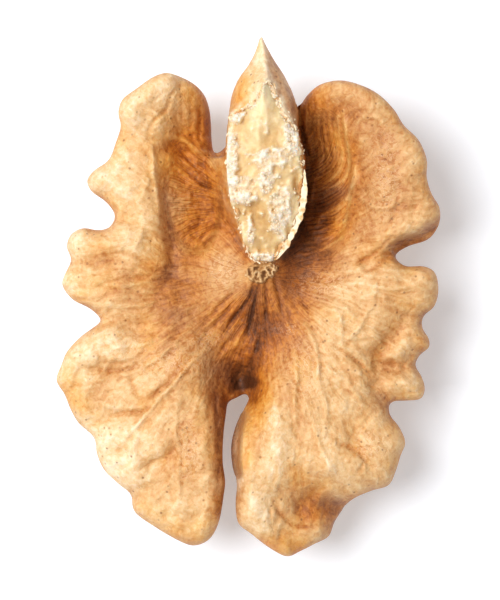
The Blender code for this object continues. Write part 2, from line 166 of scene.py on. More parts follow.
# The folds of the back: the fissure between the wings, then those that run in from the
# rim's notches, each from its outer end.
FOLDS: list[Path] = [
    [(-0.8, -7.6), (-0.4, -3.6), (0.3, 0.4), (0.5, 4.4), (0.2, 8.6), (-2.2, 10.6)],
    [(-9.3, 12.0), (-7.7, 11.0), (-6.9, 9.4), (-5.0, 8.9), (-3.6, 9.6)],
    [(-9.2, 5.8), (-7.4, 5.2), (-5.7, 6.2), (-3.8, 5.3), (-2.0, 5.9)],
    [(-12.4, 2.7), (-10.8, 2.5), (-9.2, 1.4), (-7.2, 2.2), (-5.4, 1.0), (-3.4, 1.8)],
    [(-10.3, -1.6), (-8.3, -1.2), (-6.4, -2.4), (-4.4, -1.4), (-2.4, -2.4)],
    [(-13.2, -6.9), (-11.0, -6.0), (-9.2, -4.8), (-7.4, -5.4), (-5.6, -4.6)],
    [(-11.0, -10.3), (-9.2, -9.0), (-7.3, -9.1), (-6.0, -7.4), (-3.8, -6.8)],
    [(-8.4, -14.2), (-6.9, -12.9), (-5.4, -13.2), (-4.2, -11.5), (-2.2, -11.2)],
    [(10.2, 3.0), (8.4, 2.4), (6.6, 3.4), (4.6, 2.2), (2.6, 2.8)],
    [(12.6, 8.2), (10.5, 7.4), (8.8, 8.4), (6.7, 7.2), (4.6, 7.9)],
    [(10.9, 12.4), (9.0, 11.2), (7.3, 11.9), (5.7, 10.7), (3.6, 11.4)],
    [(12.0, -1.7), (10.3, -1.2), (8.4, -2.2), (6.3, -1.4), (4.0, -2.2)],
    [(11.6, -4.6), (9.8, -4.3), (8.2, -5.5), (6.2, -4.8), (3.9, -5.4)],
    [(9.6, -7.7), (8.0, -8.3), (6.2, -7.5), (4.3, -8.5), (1.8, -7.9)],
    [(7.3, -14.4), (5.7, -12.7), (4.0, -12.9), (2.6, -11.2), (0.6, -11.4)],
]

# Where the torn face crumbled; it broke smooth and waxy elsewhere. Middles and half axes.
CRUMBLY: list[Blob] = [
    (-1.3, 9.6, 0.5, 2.2), (1.6, 9.7, 1.5, 0.6), (-0.6, 7.4, 1.0, 0.9), (1.15, 8.4, 0.5, 1.3),
    (2.15, 6.2, 0.75, 1.6), (2.95, 11.0, 0.5, 1.2), (-0.9, 12.6, 0.6, 0.4), (0.9, 2.8, 1.0, 0.35),
    (0.1, 4.6, 0.2, 1.0),
]

# The scar at the germ's foot, and the papery rings in it: middles and half axes.
SCAR: Path = [
    (-0.55, 1.75), (-0.25, 1.2), (0.3, 0.85), (0.9, 0.8), (1.5, 1.1), (2.1, 1.5), (2.35, 2.1),
    (1.9, 2.6), (0.9, 2.7), (0.0, 2.5),
]
SCAR_RINGS: list[Blob] = [
    (0.0, 1.75, 0.30, 0.38), (0.55, 1.45, 0.26, 0.36), (1.05, 1.6, 0.28, 0.40), (0.5, 2.1, 0.34, 0.22),
    (1.55, 1.85, 0.26, 0.32), (1.3, 2.3, 0.26, 0.18), (0.25, 1.15, 0.18, 0.16), (1.9, 2.25, 0.2, 0.22),
]

# The lip of skin that stands up along the torn face's lower right edge.
SKIN_LIP: Path = [
    (3.82, 8.9), (3.88, 7.9), (3.82, 6.9), (3.66, 6.0), (3.4, 5.2), (3.05, 4.5), (2.7, 3.8), (2.3, 3.2),
    (1.9, 2.7),
]

# Deep golden gaps between the torn face and its skin: middles and half axes. The flesh is sunk
# there and also painted darker golden, as shade.
GOLDEN_GAPS: list[Blob] = [(3.25, 7.7, 0.22, 0.7), (2.75, 4.4, 0.2, 0.7), (2.1, 3.4, 0.25, 0.5)]

# The middle of the germ's bed, from where the left hollow's crinkles run out.
GERM_BED: Point = (-0.2, 6.6)

# The two hollows beside the germ: middles and half axes.
LEFT_HOLLOW: Blob = (-3.9, 7.2, 1.9, 3.9)
RIGHT_HOLLOW: Blob = (5.2, 8.0, 1.9, 4.6)

# The germ's upper side along its keel: y, height at the middle, height at the two sides.
GERM_Y = [2.3, 4.0, 7.0, 10.0, 13.0, 14.8, 16.6, 18.2]
GERM_MIDDLE = [9.2, 10.5, 11.9, 12.6, 13.0, 13.1, 12.1, 10.6]
GERM_SIDE = [9.0, 10.2, 11.6, 12.2, 11.8, 10.6, 10.2, 10.3]
GERM_UNDER = [3.0, 3.0, 3.0, 3.2, 4.0, 5.0, 6.6, 9.4]


# ------------------------------------------------------- marks on the inner face, in mm
# Each mark is a strength and a path. What it does is said by the group it is in.

# Round valleys that run in from the rim's notches, and other soft hollows.
VALLEYS: Marks = [
    (0.5, [(-9.3, 11.6), (-8.3, 11.3), (-7.4, 11.0)]),
    (0.9, [(-9.2, 5.8), (-8.4, 5.4), (-7.4, 5.4)]),
    (0.7, [(-12.6, 2.7), (-11.4, 2.5), (-10.0, 2.6), (-8.6, 3.1)]),
    (1.0, [(-10.2, -1.6), (-9.2, -1.5), (-8.2, -2.1), (-7.0, -2.3)]),
    (0.9, [(-11.6, -5.0), (-10.2, -4.95), (-8.6, -4.95)]),
    (0.9, [(-11.6, -8.9), (-10.4, -8.4), (-9.2, -8.1), (-8.0, -7.7)]),
    (0.8, [(-4.9, -9.6), (-5.6, -10.9), (-6.5, -11.6), (-7.5, -12.3)]),
    (0.7, [(-8.4, -14.3), (-7.6, -13.6), (-6.6, -13.0)]),
    (1.2, [(10.2, 2.9), (9.2, 2.8), (8.3, 2.5), (7.5, 2.2)]),
    (1.0, [(12.1, -1.7), (11.1, -1.5), (10.5, -2.1), (9.9, -2.9), (9.0, -3.9), (8.4, -4.6)]),
    (1.2, [(11.7, -4.7), (10.6, -4.8), (9.4, -4.75), (8.2, -4.6)]),
    (1.3, [(9.8, -7.4), (9.2, -7.0), (8.9, -6.2), (8.6, -5.5)]),
    (0.9, [(5.0, -12.9), (4.4, -13.8), (3.6, -14.6), (2.9, -14.9)]),
    (1.6, [(7.2, -14.6), (6.2, -14.6), (5.4, -14.4), (4.7, -14.3)]),
    (0.5, [(2.9, -7.4), (3.0, -9.4), (3.2, -11.4)]),
    (0.5, [(-4.3, -6.4), (-4.2, -9.0), (-4.0, -12.0)]),
    (0.5, [(6.9, -8.2), (7.4, -9.8), (8.4, -11.6)]),
    (0.5, [(-9.4, 1.4), (-10.2, 0.3), (-10.6, -0.4)]),
]

# Round swellings.
SWELLS: Marks = [
    (0.8, [(-6.1, 13.0), (-6.3, 12.0), (-6.1, 11.2)]),
    (0.5, [(-8.0, 13.2), (-8.2, 12.2)]),
    (0.5, [(-9.6, 8.4), (-10.5, 8.2)]),
    (0.6, [(-7.9, -5.5), (-7.0, -5.6), (-6.3, -5.3)]),
    (0.6, [(-6.9, -6.6), (-6.0, -5.6)]),
    (0.5, [(-4.75, -13.0), (-4.75, -14.2), (-4.8, -15.3)]),
    (0.5, [(-8.6, -9.6), (-8.0, -10.6), (-8.2, -11.8)]),
    (0.5, [(1.7, -8.2), (1.8, -10.0), (2.0, -12.0), (1.7, -13.6)]),
    (0.6, [(4.4, -8.4), (4.8, -9.8), (5.4, -11.2), (6.2, -12.4)]),
    (0.6, [(9.6, -5.9), (10.8, -5.9), (11.6, -6.1)]),
    (0.5, [(9.2, -2.4), (8.3, -3.6)]),
    (0.5, [(11.4, -2.6), (10.6, -3.4), (9.8, -4.1)]),
    (0.4, [(5.4, -1.6), (5.7, -2.6), (5.6, -3.8)]),
    (0.5, [(8.6, 3.2), (9.8, 4.2), (11.4, 5.0)]),
    (0.5, [(0.6, -14.0), (0.7, -15.6), (1.6, -16.8)]),
]

# Narrow creases, which the skin's tone also paints darker, as shade.
CREASES: Marks = [
    (0.6, [(-4.7, 14.8), (-5.4, 14.1), (-5.7, 13.2), (-6.5, 12.4), (-6.95, 11.7), (-7.0, 11.0)]),
    (0.5, [(-3.5, 13.9), (-3.45, 12.8), (-3.4, 11.9), (-3.5, 11.2), (-3.0, 10.5)]),
    (0.3, [(-4.1, 14.0), (-4.0, 12.8), (-4.1, 11.6), (-3.6, 10.7)]),
    (0.5, [(-5.0, 10.4), (-4.3, 9.6), (-3.6, 8.9), (-3.0, 8.3), (-2.1, 8.0)]),
    (0.6, [(-3.8, 9.7), (-3.2, 9.35), (-2.7, 9.0), (-2.2, 9.1)]),
    (0.45, [(-4.5, 9.1), (-3.8, 8.4), (-3.1, 7.9), (-2.5, 7.5), (-2.0, 7.4)]),
    (0.4, [(-4.8, 8.0), (-4.0, 7.4), (-3.2, 7.0), (-2.3, 6.8)]),
    (0.5, [(-3.0, 7.9), (-2.7, 7.7), (-2.3, 7.9)]),
    (0.8, [(-3.5, 5.6), (-3.5, 5.25), (-3.8, 4.95), (-4.2, 4.9), (-4.4, 4.5)]),
    (0.9, [(-1.5, 5.0), (-2.3, 5.05), (-2.8, 4.8), (-3.2, 4.4), (-3.6, 3.9)]),
    (0.7, [(-2.4, 4.4), (-2.9, 4.0), (-3.2, 3.5)]),
    (0.4, [(-1.5, 6.2), (-2.4, 6.1), (-3.2, 5.9)]),
    (0.4, [(-8.8, 3.1), (-8.0, 2.9), (-7.2, 2.5), (-6.4, 2.4)]),
    (1.0, [(0.6, 1.8), (0.3, 0.8), (0.0, 0.0), (-0.35, -0.45), (-0.85, -1.05), (-1.25, -1.6), (-1.6, -2.45)]),
    (0.9, [(0.8, 1.8), (0.6, 0.8), (0.35, -0.35), (0.2, -1.05), (0.0, -1.75), (-0.05, -2.45), (-0.3, -3.1)]),
    (0.8, [(1.1, 2.0), (1.15, 0.9), (1.2, -0.1), (1.2, -0.9), (1.1, -1.8)]),
    (0.7, [(0.75, -2.5), (0.55, -3.4), (0.3, -4.0), (0.0, -4.9)]),
    (0.6, [(1.6, 2.0), (1.85, 1.0), (2.1, 0.1), (2.25, -0.8), (2.4, -1.7)]),
    (0.6, [(-0.5, 0.9), (-1.3, 0.2), (-2.2, -0.7), (-3.0, -1.7), (-3.9, -2.7)]),
    (0.6, [(-0.7, 0.2), (-1.4, -0.7), (-2.2, -1.6), (-3.1, -2.6), (-3.6, -3.4)]),
    (0.5, [(-1.0, -2.4), (-1.6, -3.2), (-2.2, -4.0)]),
    (0.5, [(2.6, -0.6), (2.9, -1.6), (3.0, -2.4)]),
    (0.4, [(3.4, 0.4), (4.0, -0.6), (4.4, -1.6)]),
    (0.4, [(9.5, 11.4), (9.2, 11.1), (9.3, 10.7), (9.1, 10.3)]),
    (0.7, [(1.5, -13.9), (1.9, -14.7), (2.4, -15.3), (3.0, -15.8), (3.9, -16.0), (5.0, -15.95)]),
    (0.6, [(-8.3, -5.0), (-8.1, -6.2), (-7.6, -7.0), (-7.0, -7.0)]),
    (0.5, [(-7.2, -7.0), (-6.6, -6.8), (-6.2, -6.3), (-5.5, -5.9), (-5.0, -5.9)]),
    (0.5, [(5.0, -9.1), (6.2, -9.9), (7.4, -10.6), (8.3, -11.6), (8.7, -12.4)]),
    (0.35, [(-7.7, -12.1), (-6.5, -11.3), (-5.6, -10.9), (-5.0, -10.0)]),
    (0.6, [(-10.4, -8.6), (-8.9, -8.05), (-7.3, -7.9), (-6.6, -7.2)]),
    (0.4, [(-11.5, -4.8), (-9.4, -5.1), (-7.7, -4.8), (-5.6, -5.1)]),
    (0.3, [(-4.8, -7.6), (-4.9, -9.2), (-4.65, -10.8), (-4.75, -12.6)]),
    (0.4, [(-2.45, -6.5), (-2.1, -10.0), (-2.15, -13.5)]),
    (0.3, [(-10.5, -10.9), (-9.4, -10.8), (-7.7, -9.3), (-6.5, -7.7)]),
    (0.4, [(-10.9, -2.6), (-10.6, -3.9), (-9.6, -4.5), (-8.2, -4.4)]),
    (0.3, [(-10.2, -2.2), (-9.9, -3.3), (-9.1, -3.9)]),
    (0.5, [(5.8, -9.8), (7.2, -10.5), (8.9, -10.2)]),
    (0.3, [(1.6, -8.1), (1.9, -11.6), (2.1, -13.5)]),
    (0.3, [(3.5, -7.7), (3.3, -10.5)]),
    (0.4, [(7.5, -12.3), (8.2, -11.2)]),
    (0.6, [(4.8, -3.0), (6.5, -3.6), (7.8, -4.7), (8.9, -5.6)]),
    (0.5, [(9.1, -6.1), (9.7, -7.1), (10.3, -8.5)]),
    (0.6, [(5.4, 1.2), (7.4, 1.6), (8.9, 2.2), (9.8, 2.9)]),
    (0.5, [(10.3, 4.7), (8.8, 3.2), (7.1, 2.2)]),
    (0.3, [(10.3, 7.6), (10.1, 5.8), (9.2, 4.4)]),
]

# Thin raised veins.
VEINS: Marks = [
    (0.7, [(-7.35, 11.1), (-7.0, 10.6), (-6.7, 10.1), (-6.65, 9.0), (-6.5, 7.8), (-6.3, 6.6), (-6.3, 5.2)]),
    (1.2, [(-6.0, 11.3), (-5.2, 11.25), (-4.4, 10.95), (-3.8, 10.5), (-3.2, 10.2), (-2.2, 10.1)]),
    (0.8, [(-4.8, 10.0), (-4.0, 9.1), (-3.3, 8.5), (-2.3, 8.25)]),
    (0.6, [(-4.9, 9.0), (-4.2, 8.4), (-3.5, 7.8)]),
    (0.9, [(-3.0, -3.5), (-4.3, -4.8), (-5.5, -6.2), (-6.6, -7.4), (-7.8, -8.8), (-9.2, -10.3)]),
    (0.7, [(-4.3, -2.2), (-5.4, -3.3), (-6.7, -4.4), (-8.2, -5.1)]),
    (0.5, [(-6.6, -7.4), (-8.0, -7.6), (-9.4, -7.6), (-10.6, -7.3)]),
    (0.5, [(-4.9, -7.4), (-5.1, -9.2), (-4.85, -10.8), (-4.95, -12.4), (-5.0, -14.2),
           (-5.6, -15.5), (-6.3, -15.8)]),
    (0.5, [(-7.8, -8.8), (-8.0, -10.2), (-8.9, -11.4)]),
    (0.4, [(-5.0, -11.6), (-5.8, -13.2), (-6.8, -14.2)]),
    (0.6, [(-5.6, 0.4), (-7.2, -0.4), (-8.6, -0.6), (-10.0, -0.3)]),
    (0.5, [(-6.0, 1.6), (-7.8, 1.0), (-9.4, 0.9), (-11.2, 1.3)]),
    (0.5, [(-5.0, -1.4), (-6.8, -3.0), (-8.8, -3.4), (-10.6, -3.6)]),
    (0.9, [(3.4, -1.4), (4.1, -2.3), (4.6, -3.3), (4.8, -4.6), (4.7, -6.2)]),
    (0.5, [(4.8, -4.6), (6.2, -5.4), (7.4, -6.6), (8.2, -8.0)]),
    (0.6, [(3.2, -3.2), (3.3, -5.2), (3.1, -7.6), (3.6, -10.0)]),
    (0.6, [(5.6, -0.2), (6.4, -1.6), (6.4, -3.0), (7.0, -4.0)]),
    (0.6, [(6.4, -3.0), (7.2, -2.6), (7.8, -1.8), (8.4, -0.6)]),
    (0.6, [(6.2, 0.8), (8.0, 1.0), (10.0, 0.6), (11.6, 0.9)]),
    (0.5, [(8.0, 1.0), (9.6, -0.2), (10.8, -0.9)]),
    (0.6, [(7.4, 7.4), (8.6, 6.4), (9.8, 6.4), (10.9, 7.2)]),
    (0.5, [(8.0, 9.4), (9.4, 9.0), (10.8, 9.6)]),
    (0.5, [(7.6, 12.4), (8.8, 12.6), (9.6, 11.8)]),
    (0.6, [(4.4, -8.6), (4.9, -10.2), (5.6, -11.6), (6.4, -12.8)]),
    (0.5, [(1.6, -8.2), (1.7, -10.4), (2.0, -12.4), (1.7, -13.8)]),
    (0.5, [(2.4, -15.3), (2.0, -16.2), (1.9, -17.0)]),
    (0.5, [(-8.6, 9.4), (-9.6, 8.8), (-10.4, 8.4)]),
    (0.4, [(-6.6, 8.4), (-7.8, 7.8), (-9.0, 7.6)]),
]

# The ledge under the left wing's arch, and the long valley below it.
LEDGE: Path = [(-6.2, 10.3), (-5.4, 10.5), (-4.6, 10.2), (-4.0, 9.8)]
VALLEY: Path = [(-5.95, 8.4), (-5.8, 7.0), (-5.6, 5.0), (-5.4, 3.4), (-5.5, 2.0), (-6.1, 0.8)]

# Where the rim's underside shows: at the fold on the right, and as a shelf in the slit.
RIM_FOLD: Path = [(9.8, 3.1), (10.9, 3.85), (12.2, 4.35), (13.2, 5.2)]
SLIT_SHELF: Path = [(-0.6, -7.6), (-1.0, -9.2), (-1.15, -10.9), (-1.0, -12.8)]

# Ribs that lie side by side: strength, how many, the first one's path and the last one's.
HOLLOW_RIBS: list[Family] = [
    (1.0, 9, [(4.1, 13.4), (3.9, 12.2), (4.1, 11.2), (4.3, 10.5), (4.3, 10.1), (4.2, 9.9), (4.0, 9.8)],
     [(6.5, 13.0), (6.7, 11.4), (6.9, 10.0), (6.8, 8.8), (6.2, 8.0), (5.2, 7.7), (4.2, 7.6)]),
    (1.0, 8, [(7.4, 9.6), (7.3, 8.2), (6.9, 7.2), (6.3, 6.5), (5.6, 6.0), (4.9, 5.7), (4.2, 5.6)],
     [(6.8, 4.6), (6.3, 4.1), (5.7, 3.7), (5.1, 3.4), (4.5, 3.2), (3.9, 3.1), (3.4, 3.1)]),
]
WALL_RIBS: list[Family] = [
    (0.7, 8, [(-4.9, 14.3), (-4.8, 13.2), (-4.9, 12.2), (-4.7, 11.4), (-4.0, 10.8)],
     [(-2.95, 13.8), (-2.85, 12.9), (-2.85, 12.1), (-2.85, 11.3), (-2.6, 10.6)]),
]


# Washes of colour on the skin: how much paler, how much warmer, half width and path. Most are
# the skin's own colour; some paint light and shade, as marked.
STAINS_AND_PAINTED_LIGHT: list[tuple[float, float, float, Path]] = [
    (0.12, -0.15, 1.5, [(-8.4, 13.2), (-8.6, 11.2), (-10.4, 8.6)]),
    (-0.05, 0.45, 0.8, [(-4.2, 14.2), (-3.5, 12.8), (-3.7, 11.4)]),
    (-0.10, 0.85, 1.3, [(-4.8, 9.8), (-3.7, 8.2), (-3.2, 6.2), (-3.9, 4.8)]),
    # Painted highlight: paler and less orange along the left rim, where the light from the left falls.
    (0.10, -0.30, 0.8, [(-11.6, 8.4), (-12.8, 3.8), (-13.2, 0.8), (-13.4, -5.6), (-11.0, -10.0),
                        (-8.6, -13.8)]),
    (0.12, -0.25, 1.3, [(-8.8, 7.6), (-8.2, 5.8), (-7.6, 4.0)]),
    (0.10, -0.15, 1.1, [(-12.0, 4.0), (-12.6, 1.4)]),
    (-0.05, 0.05, 0.6, [(-5.8, 8.0), (-5.7, 5.4), (-5.4, 3.0), (-6.0, 0.8)]),
    (-0.06, 0.15, 2.0, [(-5.6, 1.4), (-4.2, -0.8), (-2.6, -2.2)]),
    (0.14, -0.20, 1.6, [(-12.2, -4.4), (-10.2, -3.0)]),
    (0.12, -0.20, 0.9, [(-7.6, -5.6), (-6.2, -5.4)]),
    (0.14, -0.20, 1.8, [(-9.6, -9.2), (-7.2, -8.8), (-5.6, -7.4)]),
    (0.12, -0.10, 1.8, [(-9.2, -11.4), (-7.2, -11.6), (-5.0, -14.2)]),
    (-0.02, 0.35, 1.1, [(-12.4, -6.4), (-11.2, -8.4)]),
    # Painted shade along the left wing's roll down into the slit.
    (-0.16, 0.20, 0.6, [(-2.2, -7.2), (-2.0, -11.0), (-2.3, -15.0)]),
    (0.0, 0.30, 1.0, [(-7.2, -14.8), (-4.2, -16.4)]),
    (-0.14, 0.45, 1.3, [(-1.4, -1.6), (0.4, -0.6), (1.4, -1.6)]),
    (-0.20, 0.50, 1.1, [(0.6, -2.4), (0.2, -4.4)]),
    # Painted shade: darker on the slope into the pit and in the pit itself.
    (-0.20, 0.10, 0.9, [(-1.2, -4.8), (-0.5, -5.8)]),
    (-0.36, 0.0, 0.4, [(-0.9, -6.2), (-0.3, -6.0), (0.3, -5.9)]),
    (0.10, -0.20, 0.25, [(-1.3, -7.0), (-0.6, -6.75), (0.0, -6.5)]),
    # Painted light: the sunken shelf in the slit is made paler, to lift the shade it lies in.
    (0.34, 0.00, 0.45, SLIT_SHELF),
    (-0.14, 0.20, 1.2, [(2.6, 1.2), (3.6, -0.4)]),
    # Darker over the right hollow: partly its own brown, partly painted shade from the germ beside it.
    (-0.14, 0.15, 1.6, [(4.9, 12.8), (5.2, 9.8), (5.0, 6.4), (4.4, 3.8)]),
    (-0.04, 0.50, 0.8, [(6.4, 12.6), (7.0, 9.4), (6.9, 6.4), (6.2, 4.6)]),
    (0.10, -0.20, 1.4, [(6.8, 1.2), (6.4, -1.8), (5.6, -5.0)]),
    # Painted shade under the fold of the rim on the right.
    (-0.08, -0.05, 0.4, [(10.4, 3.7), (11.8, 4.3), (13.0, 5.2)]),
    (0.00, -0.30, 0.9, [(12.0, -4.6), (10.0, -4.7)]),
    (0.12, -0.15, 0.9, [(2.0, -8.4), (1.8, -11.8)]),
    (-0.08, 0.50, 0.8, [(0.9, -6.4), (0.3, -8.6), (-0.1, -11.4)]),
    (0.08, -0.10, 1.5, [(6.4, -8.2), (5.6, -11.8)]),
    (0.10, 0.10, 0.9, [(0.6, -14.2), (1.0, -15.8)]),
    (-0.12, 0.65, 0.9, [(1.6, -17.2), (3.2, -17.4)]),
    (-0.07, 0.25, 1.1, [(3.4, -12.8), (3.8, -14.8)]),
    (-0.02, -0.40, 0.7, [(5.0, -14.0), (5.8, -14.6)]),
    (-0.09, 0.00, 2.6, [(-5.6, 1.4), (-3.0, 1.0), (-0.4, -2.0), (-0.6, -5.4)]),
    (-0.12, 0.00, 1.4, [(5.4, 6.4), (4.4, 4.0), (2.8, 1.6)]),
    (0.08, -0.50, 0.9, [(-1.8, 2.4), (-1.3, 1.0)]),
    (-0.12, 0.20, 0.7, [(0.4, 0.8), (0.1, -0.6)]),
    (-0.02, 0.30, 0.9, [(0.6, -5.6), (0.6, -9.0)]),
    (0.04, -0.25, 3.0, [(7.6, 0.0), (8.6, -5.0), (5.4, -9.0)]),
    (0.05, -0.45, 1.8, [(1.8, -11.0), (1.8, -14.6)]),
    (-0.11, -0.35, 2.4, [(7.5, 13.4), (9.0, 9.5), (9.5, 6.0)]),
    (-0.12, 0.00, 1.6, [(3.6, 2.4), (5.6, 1.6)]),
    (-0.09, 0.00, 1.4, [(5.2, 5.2), (4.6, 3.6)]),
    (-0.14, 0.30, 1.5, [(1.6, -0.8), (2.2, -2.8)]),
    (0.05, -0.05, 1.4, [(-2.4, -1.4), (-1.6, -4.6)]),
    (0.03, -0.40, 1.8, [(-8.8, -1.0), (-9.0, -4.0), (-8.6, -9.0), (-6.4, -13.8)]),
    (-0.05, 0.10, 1.0, [(-12.6, -4.2), (-12.6, -6.6)]),
    (-0.09, 0.00, 1.6, [(-5.2, -1.4), (-5.2, -10.0), (-5.0, -12.6)]),
    (-0.08, 0.05, 1.2, [(-1.8, -8.4), (-2.0, -11.6)]),
    (-0.14, 0.05, 1.2, [(4.4, -15.4), (5.4, -15.8)]),
    (-0.06, -0.10, 1.4, [(12.4, -0.6), (12.2, -3.4)]),
    (0.02, -0.35, 1.4, [(-7.6, 13.6), (-6.0, 14.8)]),
    (-0.14, 0.55, 0.4, [(-1.6, 11.0), (-1.8, 8.0), (-1.0, 5.0), (-0.2, 2.8)]),
    # Painted shade on the germ's right roll, where it turns away from the light.
    (-0.20, 0.10, 0.4, [(3.6, 11.8), (3.95, 9.8), (4.0, 7.6), (3.5, 5.0), (2.6, 3.2)]),
    (-0.05, 0.10, 1.2, [(-2.6, -5.4), (-3.0, -9.0)]),
    (0.14, -0.05, 0.8, [(0.8, 18.0), (0.2, 15.8), (0.2, 14.4)]),
    (-0.16, 0.85, 0.8, [(-0.5, 15.0), (-0.9, 13.0)]),
    (0.09, 0.25, 0.9, [(-6.0, 14.2), (-6.0, 12.6)]),
]

# Where the skin is finely crackled and pale: middles and half axes.
CRACKLED: list[Blob] = [
    (-1.8, 1.9, 1.2, 1.3), (2.7, -2.2, 1.1, 0.45), (-3.0, -3.0, 1.2, 0.8), (4.0, -5.0, 1.4, 2.2),
    (-5.4, -4.6, 2.6, 1.2), (-8.6, -3.4, 2.2, 0.8), (-4.2, -10.6, 0.9, 2.6), (8.6, -10.4, 1.6, 1.2),
    (5.4, 1.0, 2.4, 1.0), (9.6, 8.6, 1.0, 3.2),
]

# The germ's keel, seen from above: its skin turns away from the light on the right of it.
KEEL_Y = [10.0, 13.0, 15.0, 16.5, 18.2]
KEEL_X = [2.6, 2.1, 1.3, 1.15, 0.85]

# Purplish brown bruising, mostly painted shade: in valleys, hollows, the slit, under the fold on the right
# and on slopes turned from the light. Strength, path and half width.
BRUISES_AND_SHADE: list[tuple[float, Path, float]] = [
    (0.35, [(-5.9, 8.0), (-5.75, 6.6), (-5.6, 5.0), (-5.4, 3.6), (-5.3, 2.6), (-6.0, 1.2), (-6.2, 0.2)], 0.5),
    (0.4, [(-5.4, -0.4), (-4.8, -1.4), (-4.2, -2.2)], 0.8),
    (0.6, [(-3.3, 14.2), (-2.95, 13.0), (-2.85, 11.8), (-2.7, 10.7)], 0.3),
    (0.6, [(5.2, -13.9), (6.0, -14.4), (6.6, -14.6)], 0.55),
    (1.0, [(-0.6, -7.4), (-1.0, -9.2), (-1.15, -10.9), (-1.0, -12.8), (-1.1, -14.6)], 0.5),
    (0.5, [(9.4, -6.6), (9.2, -7.4), (9.0, -7.6)], 0.5),
    (0.5, [(5.6, 7.5), (6.4, 7.5), (7.0, 7.2)], 0.5),
    (0.25, [(10.6, 3.9), (12.0, 4.4), (13.0, 5.2)], 0.4),
    (0.5, [(-2.6, -5.4), (-2.2, -8.0), (-2.0, -11.0), (-2.0, -14.0)], 0.5),
    (0.5, [(-2.6, -4.6), (-1.8, -5.4), (-1.2, -6.2)], 0.7),
]


# --------------------------------------------------------------------- chart and noise

def dense(points: Path, steps: int = 5, closed: bool = False) -> Field:
    """Runs a Catmull-Rom curve through points.

    Args:
        points: the curve's own points.
        steps: how many points a span gets.
        closed: whether the curve ends where it starts.

    Returns:
        The curve's points, as rows of x and y.
    """
    knots = np.array(points, float)
    ends = (knots[-1:], knots[:2]) if closed else (knots[:1], knots[-1:])
    knots = np.concatenate([ends[0], knots, ends[1]])
    t = np.linspace(0, 1, steps, endpoint=False)[:, None]
    spans = []
    for a, b, c, d in zip(knots, knots[1:], knots[2:], knots[3:]):
        bend = (2 * a - 5 * b + 4 * c - d) * t**2 + (3 * b - a - 3 * c + d) * t**3
        spans.append(b + 0.5 * ((c - a) * t + bend))
    curve = np.concatenate(spans)
    return curve if closed else np.concatenate([curve, knots[-1:]])


def smooth_step(low: float, high: float, value: Field) -> Field:
    """Rises smoothly from 0 to 1.

    Args:
        low: the value at which it starts to rise.
        high: the value at which it is 1.
        value: the values to shape.

    Returns:
        The shaped values.
    """
    t = np.clip((value - low) / (high - low), 0, 1)
    return t * t * (3 - 2 * t)


def quarter_round(share: Field) -> Field:
    """Height of a quarter circle, from 0 at share 0 to 1 at share 1 and beyond."""
    return np.sqrt(1 - (1 - np.clip(share, 0, 1)) ** 2)


def spread(families: list[Family], seed: int) -> Marks:
    """Draws every rib of each family, a little unevenly spaced and strong.

    Args:
        families: ribs that lie side by side.
        seed: the seed of the random draws.

    Returns:
        One mark for each rib.
    """
    rng = np.random.default_rng(seed)
    marks = []
    for strength, count, first, last in families:
        for index in range(count):
            share = (index + rng.uniform(-0.25, 0.25)) / (count - 1)
            path = (1 - share) * np.array(first) + share * np.array(last)
            path = path + rng.normal(0, 0.035, path.shape)
            marks.append((strength * rng.uniform(0.6, 1.1), [tuple(point) for point in path]))
    return marks


def widen(loop: Field, by: float | Field) -> Field:
    """Moves a counter-clockwise closed loop outward along its normals.

    Args:
        loop: the loop's points.
        by: the distance, one for all or one for each point.

    Returns:
        The moved points.
    """
    run = np.roll(loop, -1, axis=0) - np.roll(loop, 1, axis=0)
    run /= np.maximum(np.hypot(*run.T), 1e-9)[:, None]
    return loop + by * np.stack([run[:, 1], -run[:, 0]], 1)


